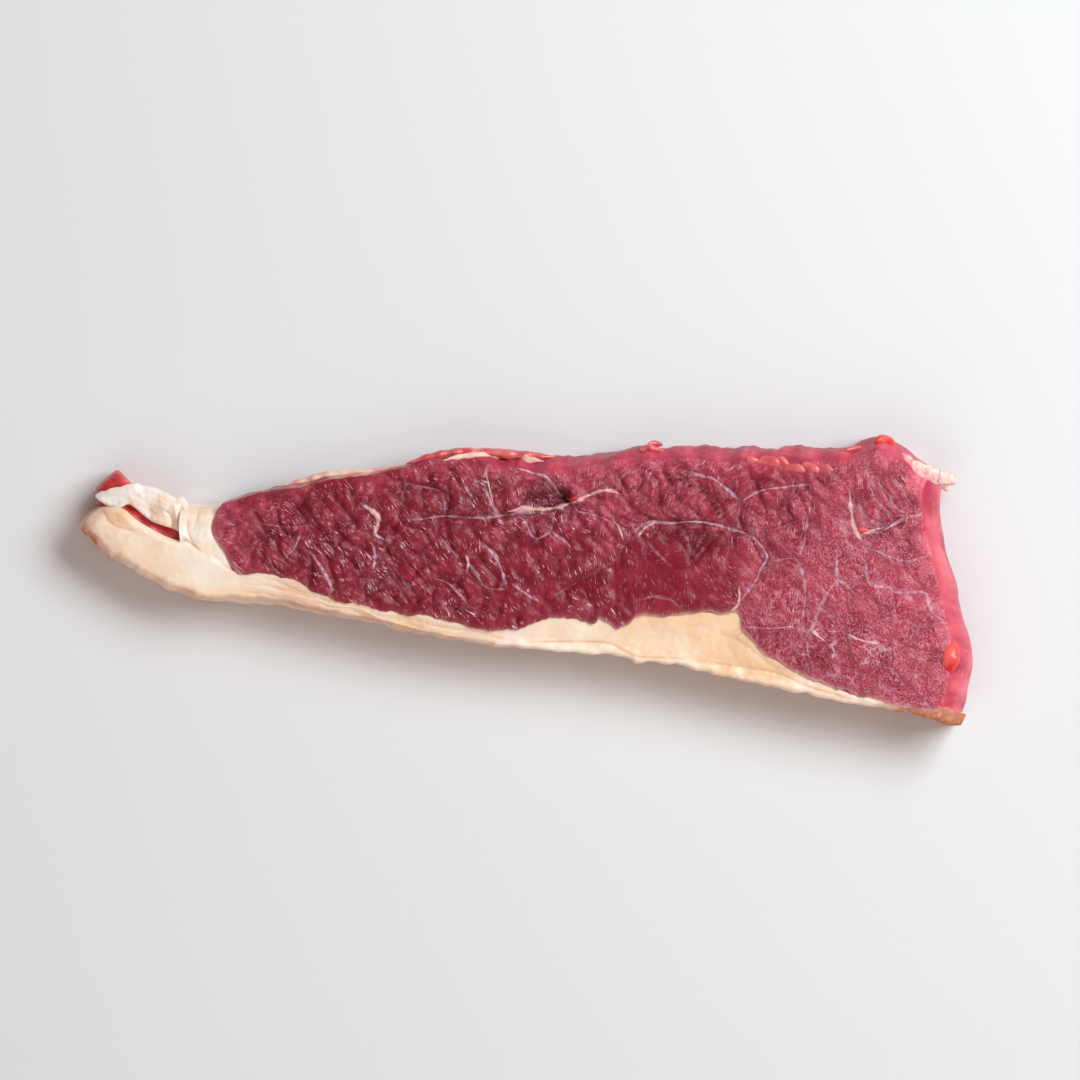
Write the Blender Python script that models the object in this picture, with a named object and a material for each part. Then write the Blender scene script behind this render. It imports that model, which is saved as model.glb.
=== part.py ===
"""Raw sirloin steak: one long slice, broad at one end and tapering to a fatty tail, lying on its cut face.

The slice is four bodies that touch along their seams:
  lean       the muscle, with both cut faces, a sloping trimmed edge behind and a sloping butt end
  fat_cap    the band of fat along the front edge, which swells into a lobe at the tail
  tail_flap  the fat round the narrow end of the muscle, which goes on as a flap over the tail
  tail_lean  the strip of muscle inside the tail, seen in the slot under the flap and at its tip

+X runs from the tail to the butt end, +Y from the fat edge to the trimmed edge, and +Z is up. The origin is
under the middle of the slice, on the surface that it lies on. Outlines are given in millimetres.
"""

import bmesh
import bpy
import numpy as np
from mathutils import Matrix, Vector

MM = 0.001

# Driving dimensions
LENGTH = 240.0
LEAN_HEIGHT = 20.5
CAP_HEIGHT = 18.5
TAIL_HEIGHT = 15.0
STRIP_HEIGHT = 8.0
SEAM_GAP = 0.3
BUTT = LENGTH / 2
TAIL = -LENGTH / 2

# How far each free edge leans in at its top, and tucks in where it meets the board
TRIMMED_SLOPE = 4.5
BUTT_SLOPE = 6.5
FAT_SLOPE = 2.2
TUCK = 1.2
WIDEST = 0.25
FULL_LEAN_WIDTH = 12.0

# Outlines seen from above, each from the tail towards the butt end
FAT_EDGE = [
    (TAIL, 14.5), (-116.5, 9.4), (-110.5, 4.8), (-103, 0.4), (-91, -5.0), (-79, -6.8), (-61, -7.8), (-47, -10.8),
    (-33, -14.0), (-7, -18.4), (20, -20.6), (41, -23.4), (57, -27.0), (75, -31.0), (90, -33.6), (100, -35.4), (116, -39.0),
]
SLOT_EDGE = [(-114.2, 19.9), (-108, 19.1), (-103.6, 15.8), (-99, 13.1), (-94.4, 11.0), (-90, 10.2)]
CREASE = [(-90, 10.2), (-84.5, 5.2), (-77, 1.6)]
SEAM = [
    (-77, 1.6), (-66, 0.2), (-55, -3.2), (-41, -7.2), (-15, -12.2), (-5, -12.8), (8, -9.8), (20, -10.4),
    (27, -11.8), (34, -9.2), (50, -8.0), (57, -12.6), (66, -20.2), (79, -26.0), (95, -31.2), (105, -34.2), (117.4, -36.0),
]
LEAN_FAR = [
    (-80.5, 21.0), (-72, 24.0), (-61, 26.4), (-50, 29.0), (-40, 29.6), (-30, 32.2), (-18, 34.6), (-5, 34.0),
    (15, 33.6), (34, 36.2), (60, 36.2), (84, 36.2), (91, 37.6), (96, 39.2), (100.5, 36.4), (106, 32.4), (113, 27.6),
]
BUTT_END = [(117.4, -36.0), (BUTT, -22), (117.5, -8), (112.4, 10), (111.2, 20.5), (113, 27.6)]
LEAN_TIP = [(-77, 1.6), (-80, 6.8), (-83.4, 12.6), (-82.6, 17.2), (-80.5, 21.0)]
FLAP_NEAR = [(-114.4, 21.0), (-110, 21.2), (-106, 20.4), (-102.6, 17.9), (-99.2, 15.0), (-94.4, 13.6), (-90, 10.2)]
FLAP_FAR = [
    (-115.1, 22.1), (-110.8, 24.4), (-107.6, 25.5), (-103.7, 26.2), (-99.2, 25.0), (-94, 22.8), (-90, 20.5),
    (-86, 20.3), (-80.5, 21.0),
]
STRIP_FAR = [(-115.3, 24.6), (-111.9, 27.8), (-109, 29.6), (-104.5, 25.4), (-99, 22.2), (-94.5, 18.6)]
STRIP_NEAR = [(-114.8, 21.0), (-108, 19.1), (-103.6, 15.8), (-99, 13.1), (-94.2, 11.0)]

# The grid that each body is made on: along its length, across it and through its height
SEAM_COLUMNS = 60
CREASE_COLUMNS = 6
TAIL_COLUMNS = 14
LEAN_ROWS = 16
CAP_ROWS = 5
FLAP_ROWS = 8
LAYERS = 4


def smooth_line(points, count):
    """count + 1 places, evenly spaced, along the smooth curve (a Catmull-Rom spline) through the points."""
    given = np.array(points, float)
    ends = np.vstack([2 * given[0] - given[1], given, 2 * given[-1] - given[-2]])
    before, start, end, after = ends[:-3, None], ends[1:-2, None], ends[2:-1, None], ends[3:, None]
    t = np.linspace(0, 1, 24, endpoint=False)[None, :, None]
    curve = start + 0.5 * t * (
        end - before
        + t * (2 * before - 5 * start + 4 * end - after + t * (3 * (start - end) + after - before))
    )
    line = np.vstack([curve.reshape(-1, 2), given[-1:]])
    return evenly(line, count)


def evenly(line, count):
    """count + 1 places an equal distance apart along a polyline."""
    travelled = np.concatenate([[0], np.cumsum(np.linalg.norm(np.diff(line, axis=0), axis=1))])
    wanted = np.linspace(0, travelled[-1], count + 1)
    return np.stack([np.interp(wanted, travelled, line[:, k]) for k in range(2)], axis=1)


def join(*lines):
    """Polylines that follow one another, as one, each shared end kept once."""
    return np.vstack([lines[0]] + [line[1:] for line in lines[1:]])


def beside(line, distance):
    """The polyline moved sideways to its left by a distance."""
    along = np.gradient(line, axis=0)
    along /= np.linalg.norm(along, axis=1, keepdims=True)
    return line + distance * np.stack([-along[:, 1], along[:, 0]], axis=1)


def patch(near, far, left, right):
    """The plan inside four edge curves: a Coons patch, with near and far running along it and left and right across."""
    u = np.linspace(0, 1, len(near))[:, None, None]
    v = np.linspace(0, 1, len(left))[None, :, None]
    ruled = (1 - v) * near[:, None] + v * far[:, None] + (1 - u) * left[None] + u * right[None]
    corners = (1 - u) * ((1 - v) * near[0] + v * far[0]) + u * ((1 - v) * near[-1] + v * far[-1])
    return ruled - corners


def lean_in(share, at_top):
    """How far an edge stands in from its outline at a share of the height: nothing where it is widest."""
    above = np.clip((share - WIDEST) / (1 - WIDEST), 0, 1)
    below = np.clip((WIDEST - share) / WIDEST, 0, 1)
    return at_top * above**1.4 + TUCK * below**2


def body(plan, top, bottom=None, slopes=(0, 0, 0, 0), shoulder=1.2):
    """Places of a body's grid, from its plan, the heights of its top and underside, and how far its near, far, left
    and right edges lean in, which is less where the body is narrow. The top falls by shoulder close to an edge that
    leans."""
    columns, rows = plan.shape[:2]
    u = np.linspace(0, 1, columns)[:, None]
    v = np.linspace(0, 1, rows)[None, :]
    inwards_y = np.gradient(plan, axis=1)
    inwards_x = np.gradient(plan, axis=0)
    inwards_y /= np.linalg.norm(inwards_y, axis=2, keepdims=True)
    inwards_x /= np.linalg.norm(inwards_x, axis=2, keepdims=True)
    edges = [
        ((1 - v) ** 6 + 0 * u, inwards_y),
        (v**6 + 0 * u, -inwards_y),
        ((1 - u) ** 24 + 0 * v, inwards_x),
        (u**24 + 0 * v, -inwards_x),
    ]
    width = np.linalg.norm(plan[:, -1] - plan[:, 0], axis=1)[:, None]
    room = np.clip(width / FULL_LEAN_WIDTH, 0, 1)
    fall = sum(near_edge * min(1.0, slope) for (near_edge, _), slope in zip(edges, slopes))
    top = top - shoulder * np.clip(fall, 0, 1)
    bottom = np.zeros_like(top) if bottom is None else bottom
    places = np.empty((columns, rows, LAYERS + 1, 3))
    for layer in range(LAYERS + 1):
        share = layer / LAYERS
        moved = plan.copy()
        for (near_edge, inwards), slope in zip(edges, slopes):
            if slope:
                moved += (near_edge * room * lean_in(share, slope))[..., None] * inwards
        places[:, :, layer, :2] = moved
        places[:, :, layer, 2] = bottom + share * (top - bottom)
    return places


def bundles(plan, size, depth):
    """The quilted relief of muscle bundles: shallow furrows where two slanting waves cross."""
    x, y = plan[..., 0], plan[..., 1]
    first = np.abs(np.sin(np.pi * (x * 0.8 + y * 0.6) / size + 0.6 * np.sin(y / 9)))
    second = np.abs(np.sin(np.pi * (y * 0.9 - x * 0.35) / (1.3 * size) + 0.5 * np.sin(x / 13)))
    return depth * (np.sqrt(first * second) - 1)


def material(name, colour, roughness):
    """A plain finish for one kind of tissue."""
    made = bpy.data.materials.new(name)
    made.use_nodes = True
    shader = made.node_tree.nodes["Principled BSDF"]
    shader.inputs["Base Color"].default_value = (*colour, 1)
    shader.inputs["Roughness"].default_value = roughness
    shader.inputs["Metallic"].default_value = 0
    return made


def cut_cube(counts):
    """A unit cube, cut by planes into columns along X, rows along Y and layers along Z."""
    mesh = bmesh.new()
    bmesh.ops.create_cube(mesh, size=1, matrix=Matrix.Translation((0.5, 0.5, 0.5)))
    for axis, count in enumerate(counts):
        normal = Vector([float(axis == k) for k in range(3)])
        for cut in range(1, count):
            everything = mesh.verts[:] + mesh.edges[:] + mesh.faces[:]
            bmesh.ops.bisect_plane(mesh, geom=everything, plane_co=normal * cut / count, plane_no=normal)
    return mesh


def add_body(name, places, finish, collection):
    """A named object: the cut cube with each of its corners moved to its place in the body's grid."""
    counts = [size - 1 for size in places.shape[:3]]
    mesh = cut_cube(counts)
    for corner in mesh.verts:
        i, j, k = (round(corner.co[axis] * counts[axis]) for axis in range(3))
        corner.co = Vector(places[i, j, k]) * MM
    bmesh.ops.recalc_face_normals(mesh, faces=mesh.faces)
    data = bpy.data.meshes.new(name)
    mesh.to_mesh(data)
    mesh.free()
    data.materials.append(finish)
    data.shade_smooth()
    data.set_sharp_from_angle(angle=np.radians(50))
    thing = bpy.data.objects.new(name, data)
    collection.objects.link(thing)
    return thing


for old in list(bpy.data.objects):
    bpy.data.objects.remove(old)

steak = bpy.data.collections.new("raw_sirloin_steak")
bpy.context.scene.collection.children.link(steak)
muscle = material("raw_muscle", (0.34, 0.045, 0.065), 0.4)
fat = material("beef_fat", (0.88, 0.66, 0.49), 0.5)
shaded_muscle = material("inner_muscle", (0.30, 0.02, 0.03), 0.35)

# The seams that neighbours share, each walked once so that both sides have the same columns
seam = smooth_line(SEAM, SEAM_COLUMNS)
crease = smooth_line(CREASE, CREASE_COLUMNS)
slot_edge = smooth_line(SLOT_EDGE, TAIL_COLUMNS)
lean_tip = smooth_line(LEAN_TIP, LEAN_ROWS)

# Lean: between the seam with the fat cap and the trimmed edge
lean_plan = patch(
    beside(seam, SEAM_GAP / 2),
    smooth_line(LEAN_FAR, SEAM_COLUMNS),
    beside(lean_tip, -SEAM_GAP / 2),
    smooth_line(BUTT_END, LEAN_ROWS),
)
lean_top = LEAN_HEIGHT + bundles(lean_plan, 13, 0.9)
lean_top -= 2.2 * (1 - np.linspace(0, 1, SEAM_COLUMNS + 1)[:, None]) ** 2
lean = body(lean_plan, lean_top, slopes=(0, TRIMMED_SLOPE, 0, BUTT_SLOPE))
add_body("lean", lean, muscle, steak)

# Fat cap: between the outer edge and the slot, the crease and the seam
cap_far = beside(join(slot_edge, crease, seam), -SEAM_GAP / 2)
cap_near = smooth_line(FAT_EDGE, len(cap_far) - 1)
cap_plan = patch(
    cap_near,
    cap_far,
    smooth_line([cap_near[0], (-117.8, 17.6), cap_far[0]], CAP_ROWS),
    smooth_line([cap_near[-1], cap_far[-1]], CAP_ROWS),
)
along_cap = np.linspace(0, 1, len(cap_far))[:, None]
cap_rise = np.clip(along_cap / 0.35, 0, 1)
cap_top = TAIL_HEIGHT + (CAP_HEIGHT - TAIL_HEIGHT) * cap_rise * cap_rise * (3 - 2 * cap_rise)
cap_top = cap_top + 0.5 * np.cos(cap_plan[..., 0] / 7) - 0.5
cap = body(cap_plan, cap_top, slopes=(FAT_SLOPE, 0, FAT_SLOPE, 0), shoulder=2.0)
add_body("fat_cap", cap, fat, steak)

# Tail flap: full height against the muscle's tip, then a thick sheet over the strip of lean
flap_near = beside(join(smooth_line(FLAP_NEAR, TAIL_COLUMNS), crease), SEAM_GAP / 2)
flap_far = smooth_line(FLAP_FAR, len(flap_near) - 1)
flap_plan = patch(
    flap_near,
    flap_far,
    smooth_line([flap_near[0], flap_far[0]], LEAN_ROWS)[:: LEAN_ROWS // FLAP_ROWS],
    beside(lean_tip, SEAM_GAP / 2)[:: LEAN_ROWS // FLAP_ROWS],
)
along_flap = np.linspace(0, 1, len(flap_near))[:, None]
across_flap = np.linspace(0, 1, flap_plan.shape[1])[None, :]
flap_top = TAIL_HEIGHT - 1.5 + 3.0 * along_flap - 2.5 * across_flap**2 * (1 - along_flap)
over_strip = np.arange(len(flap_near))[:, None] <= TAIL_COLUMNS
flap_bottom = (STRIP_HEIGHT + SEAM_GAP) * over_strip + 0 * across_flap
flap = body(flap_plan, flap_top, flap_bottom, slopes=(0, 1.6, 1.0, 0), shoulder=1.0)
add_body("tail_flap", flap, fat, steak)

# Tail lean: the strip of muscle below the flap, reaching out past it at the tip
strip_near = beside(smooth_line(STRIP_NEAR, TAIL_COLUMNS), SEAM_GAP / 2)
strip_far = smooth_line(STRIP_FAR, TAIL_COLUMNS)
strip_plan = patch(
    strip_near,
    strip_far,
    smooth_line([strip_near[0], strip_far[0]], CAP_ROWS),
    smooth_line([strip_near[-1], strip_far[-1]], CAP_ROWS),
)
strip = body(strip_plan, STRIP_HEIGHT + 0 * strip_plan[..., 0], slopes=(0, 1.2, 0.8, 0), shoulder=0.8)
add_body("tail_lean", strip, shaded_muscle, steak)
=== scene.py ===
import bpy
import numpy as np
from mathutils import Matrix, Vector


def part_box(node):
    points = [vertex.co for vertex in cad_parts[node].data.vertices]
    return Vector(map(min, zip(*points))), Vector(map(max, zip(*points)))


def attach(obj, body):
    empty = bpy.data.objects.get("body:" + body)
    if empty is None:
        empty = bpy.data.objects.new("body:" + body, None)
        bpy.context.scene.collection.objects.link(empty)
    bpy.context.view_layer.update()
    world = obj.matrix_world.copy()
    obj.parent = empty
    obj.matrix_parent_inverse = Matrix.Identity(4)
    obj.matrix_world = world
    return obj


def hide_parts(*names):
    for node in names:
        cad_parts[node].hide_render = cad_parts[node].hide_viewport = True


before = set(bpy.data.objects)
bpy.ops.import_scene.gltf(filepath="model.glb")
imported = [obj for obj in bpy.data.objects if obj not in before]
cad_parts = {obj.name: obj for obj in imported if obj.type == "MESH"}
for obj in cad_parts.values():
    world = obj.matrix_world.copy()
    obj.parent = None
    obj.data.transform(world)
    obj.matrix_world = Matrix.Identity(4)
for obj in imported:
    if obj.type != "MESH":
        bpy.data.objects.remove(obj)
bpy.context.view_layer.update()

# Raw sirloin steak on a pale board. Outlines and places are in millimetres, in the frame of the solids:
# +X runs from the tail to the butt end, +Y from the fat edge to the trimmed edge, and the board is at
# height 0.

MM = 0.001


# --------------------------------------------------------------------
# The muscle: one slice across the sirloin, wet and dark on its cut face and paler on its trimmed sides.
# It is a closed skin: the cut face, quilted by its bundles of fibre, the sloping sides, and the flat
# face below.
# --------------------------------------------------------------------

FACE_COLUMNS, FACE_ROWS = 520, 150
SIDE_LOOPS = 13
TRIMMED_SLOPE, BUTT_SLOPE = 4.5, 6.5
WIDEST = 0.25
SLOPE_POWER = 3.2
TUCK = 1.2
FULL_LEAN_WIDTH = 12.0

SEAM = [
    (-77, 1.6), (-74.6, 1.4), (-71, 1.7), (-66.6, 1.4), (-65.2, 0.5), (-62, 0), (-57, -2.8),
    (-49.6, -5.9), (-44.3, -6.3), (-40.7, -7.6), (-33.6, -9.0), (-26.4, -9.8), (-19.3, -11.3),
    (-13, -13.1), (-6, -13.3), (0.5, -12.4), (4.5, -10.7), (9, -10.2), (13.4, -10.5), (18, -11.6),
    (20, -10.2), (22.4, -11.4), (24.5, -13.4), (26.7, -12.3), (29.7, -9.9), (34, -9.4), (37, -10),
    (41.7, -9.2), (47, -8.8), (52, -9.1), (55.6, -8.3), (57.2, -9.6), (57.9, -13.2), (60.7, -16.7),
    (64.1, -19.7), (69.3, -23.1), (75.3, -26.1), (81.3, -28.3), (86.5, -30.4), (92.5, -31.7),
    (98.5, -33.6), (105, -34.6), (111, -35.2), (117.4, -36.0),
]
LEAN_FAR = [
    (-80.5, 21.0), (-72, 24.0), (-61, 26.4), (-50, 29.0), (-40, 29.6), (-30, 32.2), (-18, 34.6),
    (-5, 34.0), (15, 33.6), (34, 36.2), (60, 36.2), (84, 36.2), (91, 37.6), (96, 39.0), (100.5, 36.4),
    (106, 32.4), (113, 27.6),
]
BUTT_END = [(117.4, -36.0), (119.9, -22), (117.5, -8), (112.4, 10), (111.2, 20.5), (113, 27.6)]
LEAN_TIP = [(-77, 1.6), (-80, 6.8), (-83.2, 12.6), (-82.6, 17.2), (-80.5, 21.0)]

# How far the trimmed edge slopes: x and the share of TRIMMED_SLOPE
TRIMMED_SHARES = [
    (-80, 0.25), (-64, 0.35), (-54, 0.6), (-44, 0.45), (-35, 0.3), (-18, 0.35), (-2, 0.9), (8, 1.0),
    (20, 0.75), (60, 1.0),
]

# Where the look of the cut face changes: x, y, reach, tone (0 dark, 1 pale, 2 trimmed side), grain (a fine
# pale crinkle, partly painted sheen), relief, the fibres' angle in degrees, the width of a bundle, how long
# it is along the fibres, and how many painted glint strokes there are
REGIONS = np.array([
    (-78, 12, 7, 0.62, 0.55, 0.7, -40, 4.2, 0.6, 0.7),
    (-60, 9, 13, 0.08, 0.30, 1.0, -52, 5.5, 0.7, 1.1),
    (-44, 21, 11, 0.14, 0.20, 1.0, -52, 6.0, 0.8, 0.8),
    (-42, 4, 12, 0.03, 0.30, 0.9, -55, 5.5, 0.8, 1.2),
    (-20, 5, 12, 0.02, 0.25, 0.8, -52, 6.0, 0.9, 1.1),
    (-15, 24, 10, 0.18, 0.30, 1.0, -62, 6.8, 0.9, 0.8),
    (9, 1, 12, 0.08, 0.15, 0.6, -58, 6.8, 1.1, 0.9),
    (3, 26, 8, 0.28, 0.45, 0.9, -65, 6.8, 1.1, 0.8),
    (20, 28, 9, 0.46, 0.70, 0.9, -70, 6.4, 1.1, 0.6),
    (34, 24, 9, 0.34, 0.50, 1.2, -125, 4.7, 1.3, 0.8),
    (42, 1, 11, 0.04, 0.10, 0.10, -60, 15.0, 1.2, 0.35),
    (42, 11, 5, 0.10, 0.35, 0.8, 56, 3.6, 1.5, 0.5),
    (57, 27, 10, 0.38, 0.45, 1.1, -130, 5.1, 1.3, 0.8),
    (68, 17, 9, 0.32, 0.45, 0.8, -70, 6.0, 1.2, 0.6),
    (68, -5, 9, 0.46, 0.75, 0.35, -75, 12.0, 1.2, 0.5),
    (87, 5, 11, 0.62, 1.00, 0.3, -70, 11.0, 1.3, 0.2),
    (100, 21, 10, 0.50, 0.70, 0.7, -85, 5.1, 1.2, 0.5),
    (104, 2, 9, 0.68, 1.00, 0.3, -60, 9.0, 1.2, 0.2),
    (81, -18, 9, 0.36, 0.75, 0.3, -60, 9.0, 1.2, 0.5),
    (97, -18, 10, 0.62, 1.10, 0.2, -50, 10.0, 1.2, 0.2),
    (108, -31, 8, 0.60, 1.10, 0.2, -30, 10.0, 1.2, 0.2),
])

TONE, GRAIN, RELIEF, FIBRE_ANGLE, BUNDLE_WIDTH, BUNDLE_STRETCH, STROKES = range(3, 10)

# Seams of connective tissue between the main bundles: depth of the furrow, paleness of the line in it,
# and its course
BUNDLE_SEAMS = [
    (0.35, 0.90, [(-44, 20.5), (-41, 18.5), (-39, 16.5), (-40, 12.5), (-36, 10)]),
    (0.30, 0.80, [(-40.5, 9), (-40, 6), (-40.5, 3)]),
    (0.50, 0.20, [(-32.5, 28.5), (-32, 25.5), (-32.5, 22.5), (-32.5, 19.5), (-30.5, 16.5)]),
    (0.30, 0.70, [(-57, 7), (-54.5, 3.5), (-52, -1), (-51.5, -3)]),
    (0.30, 0.60, [(-68.5, 6), (-67, 3), (-64.5, 1)]),
    (0.30, 0.50, [(-60, 12.5), (-61.5, 8.5), (-63.5, 6.5)]),
    (0.30, 0.40, [(-55, 10), (-52.5, 9), (-51, 6.5)]),
    (0.40, 0.10, [(-48.5, 17), (-46, 14), (-44.5, 12)]),
    (0.35, 0.20, [(-70.5, 15), (-63, 14), (-57.5, 14.5)]),
    (0.50, 0.15, [(-36.5, 10), (-38.5, 6.5), (-37.5, 3), (-32.5, -4), (-30.5, -8.5)]),
    (0.30, 0.50, [(-35, 3.5), (-33, 0.5), (-30.5, -3)]),
    (0.60, 0.45, [(-33.5, 16), (-28.5, 16), (-21.5, 17), (-12, 16.5), (-3, 17.5), (2, 18), (7, 17.5)]),
    (0.50, 0.45, [(7, 17.5), (7.5, 15), (7, 13), (11, 10), (12.5, 7.5)]),
    (0.50, 0.50, [(-2.5, 17.5), (0, 15.5), (1.5, 12), (3.5, 11), (7, 13)]),
    (0.60, 0.35, [(-33.5, 26), (-28.5, 25), (-22.5, 23.5), (-21.5, 20), (-21.5, 17)]),
    (0.30, 0.60, [(-10, 30.5), (-11, 25.5), (-9, 20.5), (-7, 17)]),
    (0.15, 0.60, [(-16, 25), (-13.5, 21)]),
    (0.50, 0.80, [(-5, 30.5), (-1, 29.5), (2, 28.5), (5.5, 27.5), (7.5, 25), (10, 22), (11, 21)]),
    (0.60, 0.00, [(2.5, 27), (1.5, 24), (0.5, 20.5)]),
    (2.20, 0.00, [(0.5, 20.5), (5.5, 20.2), (10, 21), (12.5, 21)]),
    (2.20, 0.00, [(1.5, 21.8), (5.5, 21.6), (9, 21.9), (12.5, 21.8)]),
    (1.20, 0.00, [(4.5, 23), (8, 22.8), (10.5, 22.8)]),
    (0.80, 0.00, [(10.5, 22.5), (6.5, 25), (3.0, 27.2)]),
    (0.70, 0.00, [(35.5, 13.9), (34.2, 12.6), (32.7, 11.5)]),
    (0.90, 0.00, [(40.6, 13.6), (38.6, 11.2), (36.8, 10.2)]),
    (0.60, 0.20, [(42.3, 13.6), (43.5, 9.8), (44.1, 5.3)]),
    (0.90, 0.00, [(46.1, 13.6), (45.4, 11.2), (44.1, 7.4)]),
    (0.90, 0.00, [(48.9, 13.2), (47.2, 10.5), (44.7, 6.4)]),
    (0.90, 0.00, [(52.7, 13.2), (49.9, 10.5), (47.2, 7.4), (45.4, 5.3)]),
    (0.80, 0.00, [(54.4, 11.2), (51.3, 7.4), (50.2, 5.3)]),
    (0.70, 0.50, [(42.3, 29.1), (47.2, 27.7), (49.9, 27), (52.7, 24.9), (56.1, 22.2), (57.8, 20.5)]),
    (0.70, 0.10, [(60.9, 33.9), (56.1, 32.9), (52, 32.2), (47, 31.0)]),
    (0.60, 0.00, [(60.2, 30.8), (58.2, 29.1), (55.5, 28.6)]),
    (0.50, 0.00, [(-75.6, 15.4), (-67.6, 17.5), (-61, 19), (-56.6, 23), (-49, 23.4)]),
    (0.50, 0.00, [(-82.3, 11.6), (-78, 14.8), (-72.4, 15.1)]),
    (0.55, 0.00, [
        (-76.7, 8.7), (-73.5, 10.8), (-67, 11.4), (-59.5, 12), (-54.7, 14.5), (-49, 13.8), (-44.6, 16.2),
    ]),
    (0.50, 0.00, [(-21.5, 17), (-20.2, 21.5), (-20.8, 25.0), (-19.6, 28.6)]),
    (0.50, 0.00, [(-17.9, 28.5), (-9.0, 26.0), (-5.5, 23.5)]),
    (0.45, 0.00, [(-26, 12.8), (-22, 14.6), (-17, 14.4)]),
    (0.45, 0.00, [(-3.0, 9.6), (1.0, 8.6), (5.0, 9.5)]),
    (0.30, 1.00, [(11, 22), (12.5, 20.5), (14.5, 21.5), (18, 23), (20.5, 24), (23.5, 24), (24.5, 23)]),
    (0.30, 0.60, [(14.5, 18), (17.5, 17.5), (21.5, 16), (25.5, 14), (27, 12)]),
    (0.50, 0.10, [(28, 11), (25.5, 8), (23.5, 5), (17.5, 1.5), (11.5, -2), (6.5, -5)]),
    (0.30, 0.30, [(24.5, 26.5), (26.5, 28), (28.5, 29.5)]),
    (0.50, 0.00, [(34.5, 31), (34.5, 27.5), (32, 24)]),
    (0.40, 0.00, [(28.5, 25), (33.5, 21)]),
    (0.20, 0.70, [(-11, 9.5), (-8, 6.5), (-6.5, 3), (-5, -1.5)]),
    (0.30, 0.60, [(-15.5, 6.5), (-14.5, 3.5), (-12.5, 0.5), (-10.5, -2), (-8, -2.5), (-5.5, -2.5)]),
    (0.20, 0.60, [(-24.5, 0.5), (-20.5, -1), (-16, -5.5)]),
    (0.20, 0.70, [(-22.5, 11), (-18, 6)]),
    (0.20, 0.30, [(-27.5, 8), (-25.5, 1.5)]),
    (0.20, 0.50, [(-3, -1.5), (2, -5)]),
    (0.50, 0.25, [(30.5, -5.5), (33.5, -4.5), (38, -5), (41.5, -7.5)]),
    (0.10, 0.30, [(32.5, 10), (37.5, 4.5)]),
    (0.25, 0.20, [(43, 7), (46.5, 1.5)]),
    (0.90, 0.50, [
        (27, 11.5), (30, 13.5), (33.5, 15.5), (38, 15), (44, 15.5), (49.5, 15), (55, 13.5), (59.5, 12),
        (62.5, 9.5), (64.5, 6), (63, 3.5), (61.5, 0), (59, -3.5), (56.5, -6.5), (56, -8.5),
    ]),
    (0.40, 0.10, [(54, 13), (54, 7.5), (53, 3.5), (54.5, -2), (54.5, -7.5)]),
    (0.50, 0.10, [(57.8, 20.5), (57.1, 19.1), (56.4, 16), (54.7, 14.5)]),
    (0.40, 0.60, [(57, 20.5), (62, 23.5), (67, 24.5), (71.5, 25), (76, 25.5)]),
    (0.40, 0.30, [(76, 25.5), (76, 21), (75, 14.5), (74, 9), (72, 5.5)]),
    (0.50, 0.10, [(57.5, 14.5), (61.5, 13.5), (66, 13.5), (72, 15.5), (74.5, 16.5)]),
    (0.35, 0.40, [(66, 5), (72, 5.5), (74, 1), (74.5, -3.5), (74, -9.5), (73.5, -13.5)]),
    (0.35, 0.50, [(58.5, -12.5), (65.5, -13), (71, -12.5), (73.5, -13.5)]),
    (0.30, 0.70, [(83, 7.5), (83, 0.5), (85, -1), (88.5, -4.5)]),
    (0.30, 0.40, [(83, 0), (80.5, -3.5), (78, -8.5), (76.5, -12.5), (74, -16)]),
    (0.25, 0.60, [
        (90.5, 5), (91, 1), (92, -1.5), (96.5, -2), (100, -3.5), (106.5, -3.5), (108, -8), (112, -11.5),
    ]),
    (0.25, 0.50, [(90, 8.5), (94, 7.5), (96, 6.5), (101, 5), (106, 6), (108, 7.5)]),
    (1.10, 0.90, [(86.3, 24), (86.4, 20), (87.2, 15), (88.6, 11.8)]),
    (0.60, 0.50, [(89, 21), (90, 17.5), (93, 15.4), (96, 14.6)]),
    (1.20, 0.60, [(88.6, 11.8), (91.5, 12.4), (95, 13), (98.5, 15), (101.5, 16.5)]),
    (0.30, 0.60, [(98.5, 15), (101.5, 16.5), (106, 17.5)]),
    (0.40, 0.50, [(93.5, 26), (96.5, 23), (98.5, 19.5), (101.5, 17.5)]),
    (0.40, 0.30, [(97, 28), (100, 25), (102, 21), (105, 18.5)]),
    (0.40, 0.30, [(91.5, 25.5), (93, 22), (95, 19.5), (97.5, 17.5)]),
    (0.20, 0.60, [(86, -14.5), (90.5, -16.5), (94, -17), (96.5, -19.5)]),
    (0.10, 1.00, [(76.5, -14), (79, -16)]),
]

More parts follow.
